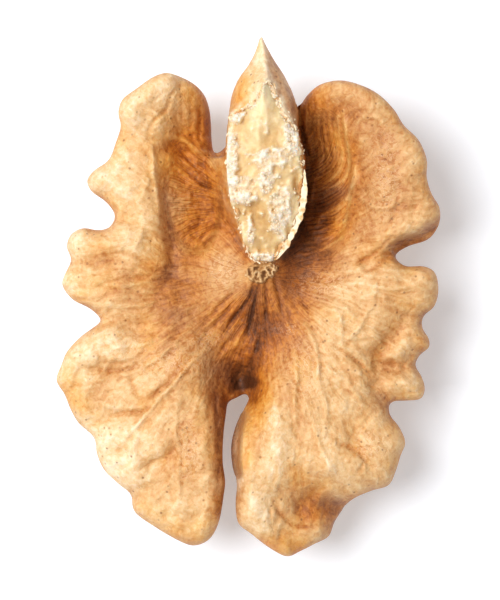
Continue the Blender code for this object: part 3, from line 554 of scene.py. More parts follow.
class Noise:
    """Seeded gradient noise over the plane, about -1 to 1."""

    CELLS = 256

    def __init__(self, seed: int) -> None:
        """Draws the gradients and the scattered seeds' places.

        Args:
            seed: the seed of the random draws.
        """
        angle = np.random.default_rng(seed).random((self.CELLS, self.CELLS)) * math.tau
        self.gx = np.cos(angle)
        self.gy = np.sin(angle)
        self.jitter = np.random.default_rng(seed + 1).random((self.CELLS, self.CELLS, 2))

    def at(self, x: Field, y: Field) -> Field:
        """Reads the noise once at each point.

        Args:
            x, y: the points, in cells.

        Returns:
            The noise at each.
        """
        ix, iy = np.floor(x).astype(int), np.floor(y).astype(int)
        fx, fy = x - ix, y - iy
        u, v = (f**3 * (f * (f * 6 - 15) + 10) for f in (fx, fy))
        total = 0.0
        for dx, wx in ((0, 1 - u), (1, u)):
            for dy, wy in ((0, 1 - v), (1, v)):
                row, col = (iy + dy) % self.CELLS, (ix + dx) % self.CELLS
                slope = self.gx[row, col] * (fx - dx) + self.gy[row, col] * (fy - dy)
                total = total + wx * wy * slope
        return 1.6 * total

    def layers(self, x: Field, y: Field, octaves: int = 3, gain: float = 0.5) -> Field:
        """Sums octaves of the noise.

        Args:
            x, y: the points, in cells of the first octave.
            octaves: how many; each is twice as fine as the one before.
            gain: how strong each is, beside the one before.

        Returns:
            The sum at each point.
        """
        total, weight = 0.0, 1.0
        for octave in range(octaves):
            total = total + weight * self.at(x * 2**octave + 17.3 * octave, y * 2**octave - 9.1 * octave)
            weight *= gain
        return total

    def crests(self, x: Field, y: Field, octaves: int = 3) -> Field:
        """Folds the noise at zero, so that thin crests stand where it crosses zero.

        Args:
            x, y: the points, in cells of the first octave.
            octaves: how many.

        Returns:
            The folded noise at each point, 0 to 1.
        """
        total, weight, whole = 0.0, 1.0, 0.0
        for octave in range(octaves):
            fold = 1 - np.abs(self.at(x * 2**octave + 5.7 * octave, y * 2**octave + 3.3 * octave))
            total = total + weight * np.clip(fold, 0, 1) ** 3
            whole += weight
            weight *= 0.55
        return total / whole

    def crumbs(self, x: Field, y: Field) -> Field:
        """Measures how far the nearest of scattered seeds is.

        Args:
            x, y: the points, in cells that hold one seed each.

        Returns:
            The distance at each point, in cells.
        """
        ix, iy = np.floor(x).astype(int), np.floor(y).astype(int)
        near = np.full(x.shape, 9.0)
        for dx in (-1, 0, 1):
            for dy in (-1, 0, 1):
                spot = self.jitter[(iy + dy) % self.CELLS, (ix + dx) % self.CELLS]
                away = np.hypot(ix + dx + spot[..., 0] - x, iy + dy + spot[..., 1] - y)
                near = np.minimum(near, away)
        return near


@dataclass
class Chart:
    """A square-celled chart over the half, seen from above, in millimetres."""

    pitch: float = 0.08
    half_x: float = 14.4
    half_y: float = 19.2
    x: Field = field(init=False)
    y: Field = field(init=False)

    def __post_init__(self) -> None:
        """Lays out the cells."""
        across = np.arange(-self.half_x, self.half_x, self.pitch)
        along = np.arange(-self.half_y, self.half_y, self.pitch)
        self.x, self.y = np.meshgrid(across, along)

    def window(self, low: Point, high: Point) -> tuple[slice, slice]:
        """Finds the rows and columns that hold a box.

        Args:
            low: the box's lower left corner.
            high: its upper right corner.

        Returns:
            The rows, then the columns.
        """
        cols = [int((v + self.half_x) / self.pitch) for v in (low[0], high[0])]
        rows = [int((v + self.half_y) / self.pitch) for v in (low[1], high[1])]
        return slice(max(rows[0], 0), max(rows[1] + 2, 0)), slice(max(cols[0], 0), max(cols[1] + 2, 0))

    def distance(self, line: Field, reach: float) -> tuple[Field, Field]:
        """Measures how far each cell is from a line.

        Args:
            line: the line's points.
            reach: distance beyond which nothing is measured.

        Returns:
            The distance, no more than reach, and the share of the line's length passed.
        """
        away = np.full(self.x.shape, reach)
        passed = np.zeros(self.x.shape)
        runs = np.hypot(*np.diff(line, axis=0).T)
        start, whole = 0.0, max(runs.sum(), 1e-9)
        for a, b, run in zip(line, line[1:], runs):
            box = self.window(np.minimum(a, b) - reach, np.maximum(a, b) + reach)
            x, y = self.x[box], self.y[box]
            t = ((x - a[0]) * (b[0] - a[0]) + (y - a[1]) * (b[1] - a[1])) / max(run * run, 1e-12)
            t = np.clip(t, 0, 1)
            gap = np.hypot(x - a[0] - t * (b[0] - a[0]), y - a[1] - t * (b[1] - a[1]))
            nearer = gap < away[box]
            away[box] = np.where(nearer, gap, away[box])
            passed[box] = np.where(nearer, (start + t * run) / whole, passed[box])
            start += run
        return away, passed

    def depth(self, loop: Field, reach: float) -> Field:
        """Measures how far each cell is inside a closed loop.

        Args:
            loop: the loop's points.
            reach: distance beyond which nothing is measured.

        Returns:
            The depth, no more than reach, and negative outside.
        """
        ring = np.concatenate([loop, loop[:1]])
        away, _ = self.distance(ring, reach)
        odd = np.zeros(self.x.shape, bool)
        for (ax, ay), (bx, by) in zip(ring, ring[1:]):
            if ay != by:
                rows = slice(*sorted(int(math.ceil((v + self.half_y) / self.pitch)) for v in (ay, by)))
                x, y = self.x[rows], self.y[rows]
                odd[rows] ^= x < (bx - ax) * (y - ay) / (by - ay) + ax
        return np.where(odd, away, -away)

    def draw(self, marks: Marks, width: float, fade: float = 0.25) -> Field:
        """Draws round-sectioned lines.

        Args:
            marks: strengths and paths.
            width: half width at which a line has lost two thirds of its strength.
            fade: share of its length over which a line rises at each end.

        Returns:
            The strongest line at each cell.
        """
        total = np.zeros(self.x.shape)
        for strength, path in marks:
            away, passed = self.distance(dense(path), 3 * width)
            ends = 0.3 + 0.7 * smooth_step(0, fade, np.minimum(passed, 1 - passed)) if fade else 1.0
            shape = np.exp(-((away / width) ** 2)) - math.exp(-9)
            total = np.maximum(total, strength * shape * ends)
        return total

    def blobs(self, blobs: list[Blob], power: float = 1.0) -> Field:
        """Draws oval blobs that are 1 in the middle.

        Args:
            blobs: their middles and half axes.
            power: how flat they are inside, and how firm at the edge.

        Returns:
            The strongest blob at each cell.
        """
        total = np.zeros(self.x.shape)
        for mx, my, rx, ry in blobs:
            reach = ((self.x - mx) / rx) ** 2 + ((self.y - my) / ry) ** 2
            total = np.maximum(total, np.exp(-(reach**power)))
        return total

    def spots(self, spots: list[tuple[float, float, float]]) -> Field:
        """Lays a thin-plate surface through spot values.

        Args:
            spots: x, y and value of each spot.

        Returns:
            The surface over the chart.
        """
        px, py, pz = np.array(spots, float).T
        n = len(px)

        def bend(r2: Field) -> Field:
            """The thin plate's own curve."""
            return 0.5 * r2 * np.log(np.maximum(r2, 1e-12))

        system = np.zeros((n + 3, n + 3))
        system[:n, :n] = bend((px[:, None] - px) ** 2 + (py[:, None] - py) ** 2)
        system[:n, n:] = np.stack([np.ones(n), px, py], 1)
        system[n:, :n] = system[:n, n:].T
        weights = np.linalg.solve(system, np.concatenate([pz, np.zeros(3)]))
        height = weights[n] + weights[n + 1] * self.x + weights[n + 2] * self.y
        for w, sx, sy in zip(weights[:n], px, py):
            height = height + w * bend((self.x - sx) ** 2 + (self.y - sy) ** 2)
        return height

    def soften(self, values: Field, radius: float) -> Field:
        """Blurs a field with a bell curve.

        Args:
            values: the field.
            radius: the bell's own, in millimetres.

        Returns:
            The blurred field.
        """
        reach = int(3 * radius / self.pitch) + 1
        bell = np.exp(-0.5 * (np.arange(-reach, reach + 1) * self.pitch / radius) ** 2)
        bell /= bell.sum()
        padded = np.pad(values, reach, mode="edge")
        rows = np.apply_along_axis(lambda line: np.convolve(line, bell, "valid"), 1, padded)
        return np.apply_along_axis(lambda line: np.convolve(line, bell, "valid"), 0, rows)

    def read(self, values: Field, x: Field, y: Field) -> Field:
        """Reads a field at any points, evenly between cells.

        Args:
            values: the field.
            x, y: the points, in millimetres.

        Returns:
            The values there.
        """
        col = np.clip((x + self.half_x) / self.pitch, 0, values.shape[1] - 1.001)
        row = np.clip((y + self.half_y) / self.pitch, 0, values.shape[0] - 1.001)
        c, r = col.astype(int), row.astype(int)
        u, v = col - c, row - r
        low = values[r, c] * (1 - u) + values[r, c + 1] * u
        high = values[r + 1, c] * (1 - u) + values[r + 1, c + 1] * u
        return low * (1 - v) + high * v


# ------------------------------------------------------------------- shape of the half

@dataclass
class Relief:
    """Heights of the half's top and underside over the chart, and masks that dress them.

    Sizes are in millimetres. The rim is where the inner face rolls over to the back, and the
    sulcus is the deep kind of fold in the back. A crest mean is what folded noise is on average.
    """

    chart: Chart
    rim_drop: float = 1.5
    rim_roll: float = 1.35
    rim_wall: float = 0.35
    back_depth: float = 10.9
    back_fullness: float = 2.35
    back_half_width: float = 14.07
    back_half_length: float = 19.06
    back_roll: float = 3.2
    least_wall: float = 1.3
    sulcus_depth: float = 3.0
    sulcus_roll: float = 2.3
    fold_wander: float = 0.35
    flat_spot: float = 0.2
    valley_depth: float = 0.45
    swell_height: float = 0.4
    long_rib_height: float = 0.28
    fan_relief: float = 0.38
    crinkle_relief: float = 0.42
    ripple_relief: float = 0.34
    rib_height: float = 0.32
    crease_depth: float = 0.34
    vein_height: float = 0.34
    crest_mean: float = 0.45
    torn_sink: float = 0.9
    seed: int = 11
    scar: Point = (0.9, 1.6)
    top: Field = field(init=False)
    under: Field = field(init=False)
    torn_top: Field = field(init=False)
    masks: dict[str, Field] = field(init=False, default_factory=dict)

    def __post_init__(self) -> None:
        """Draws both sides."""
        self.noise = Noise(self.seed)
        chart = self.chart
        self.wing_depth = chart.depth(dense(WINGS, 5, True), 4.5)
        self.germ_depth = chart.depth(dense(GERM, 5, True), 4.5)
        ragged = 0.16 * self.noise.layers(1.6 * chart.x, 1.6 * chart.y, 4, 0.65)
        self.torn_depth = chart.depth(dense(TORN, 5, True), 3.0) + ragged
        self.draw_masks()
        self.draw_top()
        self.draw_under()
        self.draw_tones()

    def draw_masks(self) -> None:
        """Works out where the half is fibrous, hollow, torn and veined."""
        chart, x, y = self.chart, self.chart.x, self.chart.y
        angle = np.arctan2(y - self.scar[1], x - self.scar[0])
        away = np.hypot(x - self.scar[0], y - self.scar[1])
        self.masks["angle"], self.masks["away"] = angle, away
        hollow_right = self.masks["hollow_right"] = chart.blobs([RIGHT_HOLLOW], 1.5)
        hollow_left = self.masks["hollow_left"] = chart.blobs([LEFT_HOLLOW], 1.5)
        across = np.maximum(x - 3.8, 0) ** 3 + (0.62 * np.maximum(12.5 - y, 0)) ** 3
        self.masks["turn_right"] = np.cbrt(across)
        sector = np.exp(-(((angle + 1.9) / 0.62) ** 2))
        fan = np.exp(-((away / 5.2) ** 2)) * smooth_step(1.2, 0.2, y) * sector
        self.masks["fan"] = fan
        self.masks["fibrous"] = np.clip(fan + 0.8 * hollow_left + 0.6 * hollow_right, 0.1, 1)
        self.masks["crackle"] = chart.blobs(CRACKLED)
        self.masks["vein"] = chart.draw(VEINS, 0.18) - 0.5 * chart.draw(VEINS, 0.5)
        self.masks["crease"] = chart.draw(CREASES, 0.13)
        self.masks["rib"] = chart.draw(spread(HOLLOW_RIBS, 5), 0.15, 0.15)
        self.masks["wall_rib"] = chart.draw(spread(WALL_RIBS, 6), 0.10, 0.2)

    def wing_face(self) -> Field:
        """Draws the wings' inner face, with its valleys, swellings, creases, veins and fibres.

        Returns:
            Its heights.
        """
        chart, noise, masks = self.chart, self.noise, self.masks
        x, y = chart.x, chart.y
        face = chart.spots(INNER_FACE)
        face = face - self.valley_depth * chart.draw(VALLEYS, 0.62)
        face = face + self.swell_height * chart.draw(SWELLS, 0.6)
        face = face + 0.16 * noise.layers(0.35 * x, 0.35 * y, 2)
        face = face + 0.04 * noise.layers(0.9 * x, 0.9 * y, 2)
        # Long low ribs fan out over both wings from the scar.
        sway = 0.9 * noise.layers(0.22 * x, 0.22 * y, 3)
        long_rib = noise.crests(masks["angle"] * 5.0 + sway, 0.16 * masks["away"] - sway, 3)
        clear = smooth_step(2.5, 6.0, masks["away"])
        face = face + self.long_rib_height * (long_rib - self.crest_mean) * clear
        # The inner wall of the left lobe falls away to the right, with lengthwise ribs.
        wall = smooth_step(-5.5, -4.7, x) * smooth_step(10.6, 11.6, y) * (x < 0)
        face = face - 0.5 * wall + 0.13 * masks["wall_rib"]
        # The ledge under the arch, and the valley beside the left hollow.
        face = face - 0.5 * chart.draw([(1.0, LEDGE)], 0.4) - 0.35 * chart.draw([(1.0, VALLEY)], 0.45)
        # Fibres run out from the scar, and from the germ into the hollows.
        warp = 0.5 * noise.layers(0.6 * x, 0.6 * y, 2)
        fibre = noise.crests(masks["angle"] * 10.0 + warp, 0.20 * masks["away"] + warp, 3)
        face = face + self.fan_relief * (fibre - self.crest_mean) * masks["fan"]
        turn = np.arctan2(y - GERM_BED[1], x - GERM_BED[0])
        out = np.hypot(y - GERM_BED[1], x - GERM_BED[0])
        crinkle = noise.crests(turn * 9.0 + 1.2 * warp, 0.8 * out + 1.5 * warp, 3)
        face = face + self.crinkle_relief * (crinkle - self.crest_mean) * masks["hollow_left"]
        ripple = noise.crests(2.0 * masks["turn_right"] + 0.5 * warp, 0.22 * (x - y), 3)
        face = face + self.ripple_relief * (ripple - self.crest_mean) * masks["hollow_right"]
        face = face + self.rib_height * masks["rib"] - self.crease_depth * masks["crease"]
        face = face + self.vein_height * masks["vein"]
        # Fine crinkles of the dry skin.
        face = face + 0.035 * (noise.crests(1.3 * x + warp, 1.3 * y - warp, 4) - 0.5)
        return face + 0.018 * noise.layers(3.2 * x, 3.2 * y, 3, 0.7)

    def draw_top(self) -> None:
        """Draws the half's upper side, and the torn face's own."""
        chart, noise = self.chart, self.noise
        x, y = chart.x, chart.y
        face = self.wing_face()
        roll = self.rim_roll + 0.25 * noise.at(0.5 * x, 0.5 * y)
        roll = roll + 0.5 * smooth_step(-3.4, -2.0, x) * (x < 0) * (y < -4.5)
        top = face - self.rim_drop * (1 - quarter_round(self.wing_depth / roll))
        fold = chart.draw([(1.0, RIM_FOLD)], 0.42, 0.1)
        shelf = chart.draw([(1.0, SLIT_SHELF)], 0.5, 0.1)
        top = top - 1.0 * fold - 2.2 * smooth_step(0.2, 0.7, shelf)
        middle, side, under = (np.interp(y, GERM_Y, z) for z in (GERM_MIDDLE, GERM_SIDE, GERM_UNDER))
        depth = self.germ_depth
        brow = under + 0.75 * (side - under)
        germ = brow + (side - brow) * quarter_round(depth / 0.5)
        germ = germ + (middle - side) * np.clip(depth / 2.2, 0, 1)
        past_keel = x - np.interp(y, KEEL_Y, KEEL_X)
        keel = np.exp(-((past_keel / 0.22) ** 2)) * smooth_step(14.4, 15.2, y)
        self.masks["keel"] = keel
        germ = germ + 0.28 * keel
        streak = noise.crests(2.6 * x + 0.8 * y, 0.35 * y, 3) - 0.5
        grain = 0.08 * noise.layers(0.9 * x, 0.5 * y, 3) + 0.12 * streak
        germ = germ + grain * smooth_step(0.1, 0.6, depth)
        # The torn face is sunk a little below its skin's broken edge.
        sunk = smooth_step(-0.1, 0.5, self.torn_depth)
        germ = germ - self.torn_sink * sunk + 0.10 * np.exp(-((self.torn_depth + 0.15) / 0.16) ** 2)
        # Crinkled skin climbs the germ's left side out of the hollow.
        climb = side - 1.5 - 2.6 * np.clip(-depth / 1.3, 0, 1) ** 0.8
        climb = climb + 0.5 * (noise.crests(1.1 * x, 2.2 * y + 0.7 * x, 3) - self.crest_mean)
        left = (x < 0.9) * (y < 9.9) * (y > 2.0) * (depth > -1.3) * (depth <= 0)
        top = np.where(left, np.maximum(top, climb), top)
        self.top = np.where(depth > 0, np.maximum(germ, np.where(self.wing_depth > 0, top, -9)), top)
        self.draw_torn(side + (middle - side) * np.clip(depth / 2.2, 0, 1))
        rim = np.exp(-(((self.torn_depth + 0.18) / 0.28) ** 2)) * (depth > -0.4)
        rim = rim * smooth_step(-0.6, 0.3, noise.layers(1.8 * x, 1.8 * y, 3))
        self.masks["torn_edge"] = rim * (0.15 + 0.85 * smooth_step(10.8, 12.4, y)) * (x < 3.3)
        self.masks["shade_side"] = smooth_step(-0.05, 0.2, past_keel) * (depth > 0) * (y > 10)

    def draw_torn(self, bed: Field) -> None:
        """Draws the torn flesh: crumbly heaps beside smooth, sunken, waxy breaks.

        Args:
            bed: the height that the germ's skin would have there.
        """
        chart, noise = self.chart, self.noise
        x, y = chart.x, chart.y
        crumbly = chart.blobs(CRUMBLY, 1.3) + 0.34 * noise.layers(1.3 * x, 1.3 * y, 4, 0.65)
        crumbly = smooth_step(0.10, 0.50, crumbly)
        near = noise.crumbs(2.4 * x + 0.8 * noise.at(1.9 * x, 1.9 * y), 2.4 * y)
        heaps = 0.30 * noise.layers(1.5 * x, 1.5 * y, 4, 0.65) + 0.22 * (0.5 - near) + 0.2
        # Clean breaks step down in shells.
        step = 3.2 * noise.layers(0.6 * x + 4, 0.42 * y, 3, 0.45)
        whole = np.floor(step)
        shell = 0.11 * (whole + smooth_step(0.6, 1.0, step - whole)) + 0.03 * noise.layers(2 * x, 1.2 * y, 2)
        torn = heaps * crumbly + shell * (1 - crumbly)
        torn = torn + 0.07 * noise.layers(5.0 * x, 5.0 * y, 2) * (0.12 + 0.88 * crumbly)
        gap = chart.blobs(GOLDEN_GAPS)
        edge = smooth_step(0.12, -0.16, self.torn_depth)
        tuck = 0.62 - 0.46 * smooth_step(11.6, 12.6, y)
        self.torn_top = bed - 0.14 + torn * (1 - 0.6 * edge) - tuck * edge - 0.5 * gap
        self.masks["gap"] = gap
        self.masks["waxy"] = 1 - crumbly

    def draw_under(self) -> None:
        """Draws the half's domed, folded back."""
        chart, noise = self.chart, self.noise
        x, y = chart.x, chart.y
        reach = np.hypot(x / self.back_half_width, y / self.back_half_length)
        section = np.clip(1 - reach**self.back_fullness, 0, 1) ** (1 / self.back_fullness)
        dome = self.back_depth * (1 - section) - self.flat_spot
        wander = self.fold_wander * np.sin(1.3 * y + 0.4 * x)
        wx = x + wander + 0.6 * self.fold_wander * np.sin(2.9 * y)
        wy = y + wander + 0.6 * self.fold_wander * np.sin(2.7 * x + 1.0)
        fold = np.full(x.shape, self.sulcus_roll)
        for path in FOLDS:
            away, _ = chart.distance(dense(path), self.sulcus_roll + 0.6)
            fold = np.minimum(fold, away)
        fold = chart.read(fold, wx, wy)
        dome = dome + self.sulcus_depth * (1 - quarter_round(fold / self.sulcus_roll))
        rest = smooth_step(0.4, 2.2, dome + self.flat_spot)
        small = noise.crests(0.42 * wx + 0.3 * noise.at(0.5 * x, 0.5 * y), 0.42 * wy, 2)
        dome = dome + 0.55 * smooth_step(0.55, 0.95, small) * rest
        rough = 0.12 * noise.layers(0.8 * x, 0.8 * y, 3) - 0.09 * noise.crests(0.9 * x, 0.9 * y, 2)
        dome = dome + rough * rest
        middle, side, belly = (np.interp(y, GERM_Y, z) for z in (GERM_MIDDLE, GERM_SIDE, GERM_UNDER))
        rim = chart.spots(INNER_FACE) - self.rim_drop - self.rim_wall
        dome = np.minimum(dome, rim)
        under = rim + (dome - rim) * quarter_round(self.wing_depth / self.back_roll)
        thin = smooth_step(0, self.rim_roll, self.wing_depth)
        under = np.minimum(under, self.top - self.rim_wall - self.least_wall * thin)
        brow = belly + 0.75 * (side - belly) - self.rim_wall
        germ = brow + (belly - brow) * quarter_round(self.germ_depth / 2.6)
        lowest = np.minimum(germ, np.where(self.wing_depth > 0, under, np.inf))
        under = np.where(self.germ_depth > 0, lowest, under)
        self.under = np.maximum(under, 0.0)
        self.masks["fold"] = np.clip(1 - fold / 1.3, 0, 1)
        self.masks["back_line"] = smooth_step(0.6, 0.95, small)

    def draw_tones(self) -> None:
        """Works out the skin's tone and orange flush, with shade and highlight painted in from the relief,
        and where bruising and painted shade turn it purplish brown.
        """
        chart, noise, masks = self.chart, self.noise, self.masks
        x, y = chart.x, chart.y
        fine_relief_shading = self.top - chart.soften(self.top, 0.9)
        broad = self.top - chart.soften(self.top, 2.2)
        tone = np.full(x.shape, 0.62)
        flush = np.full(x.shape, 0.28)
        for paler, warmer, width, path in STAINS_AND_PAINTED_LIGHT:
            wash = chart.draw([(1.0, path)], width, 0)
            tone = tone + paler * wash
            flush = flush + warmer * wash
        # Painted shade and highlight: the tone follows the relief. It is darker in recesses and creases and
        # paler on crests and on the ribs; veins are paler, with a slightly darker band beside them.
        tone = tone + 0.16 * np.clip(fine_relief_shading, -0.5, 0.5) + 0.05 * np.clip(broad, -1, 1)
        tone = tone - 0.17 * masks["crease"] + 0.10 * masks["vein"] + 0.14 * masks["rib"]
        streak = noise.crests(3.2 * x + 1.2 * y, 0.35 * y, 3) - 0.5
        tone = tone + 0.04 * noise.layers(0.5 * x, 0.5 * y, 3)
        # Painted shade: the germ's skin right of the keel is darker, with its own dark streaks. The keel line
        # itself is painted paler, as a highlight.
        tone = tone - (0.12 + 0.30 * streak) * masks["shade_side"] + 0.16 * masks["keel"]
        # Painted shade also warms the colour: more orange in broad hollows, less on broad crests.
        flush = flush + 0.38 * noise.layers(0.5 * x + 9, 0.5 * y, 3) - 0.2 * np.clip(broad, -1, 1)
        masks["tone"] = np.clip(tone, 0, 1)
        masks["flush"] = np.clip(flush, 0, 1)
        # The back is painted darker in its folds, as shade, and darker on its small raised lines.
        fold = 1 - masks["fold"]
        back = 0.50 + 0.14 * fold + 0.08 * noise.layers(0.35 * x, 0.35 * y, 3) - 0.14 * masks["back_line"]
        masks["back_tone"] = np.clip(back, 0, 1)
        masks["back_flush"] = np.clip(0.45 + 0.3 * noise.layers(0.3 * x, 0.3 * y + 5, 2), 0, 1)
        # Bruising, mostly painted shade: purplish brown in valleys, hollows, the slit, under the fold on the
        # right and on slopes turned from the light, and over the germ's skin right of the keel.
        bruise_and_shade = np.zeros(x.shape)
        for strength, path, width in BRUISES_AND_SHADE:
            bruise_and_shade = np.maximum(bruise_and_shade, chart.draw([(strength, path)], width, 0.2))
        masks["bruise_and_shade"] = np.clip(np.maximum(bruise_and_shade, 0.65 * masks["shade_side"]), 0, 1)


# -------------------------------------------------------------------------- mesh making

def new_piece(name: str, mesh: bmesh.types.BMesh) -> bpy.types.Object:
    """Turns a mesh into an object of the scene, and frees the mesh.

    Args:
        name: the object's name.
        mesh: the mesh.

    Returns:
        The object.
    """
    data = bpy.data.meshes.new(name)
    mesh.to_mesh(data)
    mesh.free()
    piece = bpy.data.objects.new(name, data)
    bpy.context.scene.collection.objects.link(piece)
    return piece


@dataclass
class Net:
    """Makes even nets of closed solids from outlines and two height fields."""

    chart: Chart

    def slab(self, name: str, loops: list[Field], half: float) -> bpy.types.Object:
        """Fills outlines and thickens them.

        Args:
            name: the new object's name.
            loops: closed outlines, in millimetres; they may overlap.
            half: half the slab's thickness, in millimetres.

        Returns:
            One mesh object with a closed slab for each outline.
        """
        mesh = bmesh.new()
        for loop in loops:
            curve = bpy.data.curves.new(name, "CURVE")
            curve.dimensions = "2D"
            curve.fill_mode = "BOTH"
            curve.extrude = half * MM
            spline = curve.splines.new("POLY")
            spline.points.add(len(loop) - 1)
            for point, (x, y) in zip(spline.points, loop):
                point.co = (x * MM, y * MM, 0, 1)
            spline.use_cyclic_u = True
            guide = bpy.data.objects.new(name, curve)
            bpy.context.scene.collection.objects.link(guide)
            bpy.context.view_layer.update()
            seen = guide.evaluated_get(bpy.context.evaluated_depsgraph_get())
            filled = bpy.data.meshes.new_from_object(seen)
            mesh.from_mesh(filled)
            bpy.data.meshes.remove(filled)
            bpy.data.objects.remove(guide)
            bpy.data.curves.remove(curve)
        bmesh.ops.remove_doubles(mesh, verts=mesh.verts, dist=1e-6)
        return new_piece(name, mesh)

    def even(self, piece: bpy.types.Object, spacing: float) -> None:
        """Args:
            piece: the piece.
            spacing: the net's, in millimetres.
        """
        remesh = piece.modifiers.new("net", "REMESH")
        remesh.mode = "VOXEL"
        remesh.voxel_size = spacing * 1.0 * MM
        bpy.context.view_layer.update()
        seen = piece.evaluated_get(bpy.context.evaluated_depsgraph_get())
        mesh = bpy.data.meshes.new_from_object(seen)
        piece.modifiers.clear()
        piece.data = mesh

    def corners(self, piece: bpy.types.Object) -> Field:
        """Reads a piece's corners.

        Args:
            piece: the piece.

        Returns:
            Rows of x, y and z in millimetres.
        """
        flat = np.empty(len(piece.data.vertices) * 3)
        piece.data.vertices.foreach_get("co", flat)
        return flat.reshape(-1, 3) / MM

    def place(self, piece: bpy.types.Object, corners: Field) -> None:
        """Moves a piece's corners."""
        piece.data.vertices.foreach_set("co", (corners * MM).ravel())
        piece.data.update()

    def facing(self, piece: bpy.types.Object) -> Field:
        """Reads how far each corner of a piece faces up.

        Args:
            piece: the piece.

        Returns:
            -1 to 1 for each corner.
        """
        flat = np.empty(len(piece.data.vertices) * 3)
        piece.data.vertex_normals.foreach_get("vector", flat)
        return flat.reshape(-1, 3)[:, 2]

    def raise_slab(self, piece: bpy.types.Object, half: float, top: Field, under: Field) -> None:
        """Moves a slab's two sides to two height fields.

        Args:
            piece: the slab.
            half: half its thickness, in millimetres.
            top: heights for its upper side.
            under: heights for its lower side.
        """
        co = self.corners(piece)
        share = np.clip((co[:, 2] + half) / (2 * half), 0, 1)
        high = self.chart.read(top, co[:, 0], co[:, 1])
        low = self.chart.read(under, co[:, 0], co[:, 1])
        co[:, 2] = low + share * (high - low)
        self.place(piece, co)

    def settle(self, piece: bpy.types.Object, top: Field, under: Field) -> None:
        """Puts corners that face up or down back on the height fields.

        Args:
            piece: the piece.
            top: heights for corners that face up.
            under: heights for corners that face down.
        """
        co = self.corners(piece)
        up = self.facing(piece)
        for heights, share in ((top, smooth_step(0.3, 0.6, up)), (under, smooth_step(0.3, 0.6, -up))):
            target = self.chart.read(heights, co[:, 0], co[:, 1])
            near = np.abs(target - co[:, 2]) < 0.6
            co[:, 2] += np.where(near, share * (target - co[:, 2]), 0)
        self.place(piece, co)

    def paint(self, piece: bpy.types.Object, name: str, values: Field) -> None:
        """Stores one number at each corner of a piece."""
        layer = piece.data.attributes.new(name, "FLOAT", "POINT")
        layer.data.foreach_set("value", values.astype(np.float32))

    def bake_map(self, piece: bpy.types.Object) -> None:
        """Lays the upper and lower sides side by side in one flat map.

        Args:
            piece: the piece.
        """
        co = self.corners(piece)
        data = piece.data
        ends = np.empty(len(data.loops), int)
        data.loops.foreach_get("vertex_index", ends)
        normals = np.empty(len(data.polygons) * 3)
        data.polygons.foreach_get("normal", normals)
        sizes = np.empty(len(data.polygons), int)
        data.polygons.foreach_get("loop_total", sizes)
        low, high = co.min(axis=0), co.max(axis=0)
        u = 0.01 + 0.47 * (co[ends, 0] - low[0]) / (high[0] - low[0])
        v = 0.01 + 0.98 * (co[ends, 1] - low[1]) / (high[1] - low[1])
        u = u + 0.5 * np.repeat(normals.reshape(-1, 3)[:, 2] < 0, sizes)
        layer = data.uv_layers.new(name="OFBake")
        layer.data.foreach_set("uv", np.stack([u, v], 1).ravel())


# --------------------------------------------------------------------------- materials

def srgb(code: str) -> tuple[float, float, float, float]:
    """Turns an sRGB hex colour to linear.

    Args:
        code: the colour, such as "#d0a067".

    Returns:
        Linear red, green, blue and alpha.
    """
    parts = [int(code[i:i + 2], 16) / 255 for i in (1, 3, 5)]
    linear = [c / 12.92 if c <= 0.04045 else ((c + 0.055) / 1.055) ** 2.4 for c in parts]
    return (*linear, 1.0)


def connect(tree: bpy.types.NodeTree, node: bpy.types.Node, inputs: dict) -> None:
    """Fills a node's inputs.

    Args:
        tree: the node's tree.
        node: the node.
        inputs: for each input, by name or number, a socket to link or a value to set.
    """
    for name, value in inputs.items():
        if isinstance(value, bpy.types.NodeSocket):
            tree.links.new(value, node.inputs[name])
        else:
            node.inputs[name].default_value = value


def add_node(tree: bpy.types.NodeTree, kind: str, links: dict | None = None, out: str | int = 0,
             stops: list[tuple[float, str]] | None = None, **settings) -> bpy.types.NodeSocket:
    """Adds a node to a tree.

    Args:
        tree: the material's node tree.
        kind: the node's type, without the leading ShaderNode.
        links: for each input, by name or number, a socket to link or a value to set.
        out: the output that is wanted.
        stops: a colour ramp's positions and sRGB hex colours.
        settings: properties of the node itself.

    Returns:
        The wanted output.
    """
    node = tree.nodes.new("ShaderNode" + kind)
    for name, value in settings.items():
        setattr(node, name, value)
    connect(tree, node, links or {})
    for index, (position, code) in enumerate(stops or []):
        elements = node.color_ramp.elements
        element = elements[index] if index < 2 else elements.new(position)
        element.position = position
        element.color = srgb(code)
    return node.outputs[out]


def new_material(name: str) -> tuple[bpy.types.Material, Callable, Callable]:
    """Starts a node material.

    Args:
        name: the material's name.

    Returns:
        The material, what adds a node to it, and what fills its shader's inputs.
    """
    material = bpy.data.materials.new(name)
    material.use_nodes = True
    tree = material.node_tree
    shader = tree.nodes["Principled BSDF"]
    return material, partial(add_node, tree), partial(connect, tree, shader)


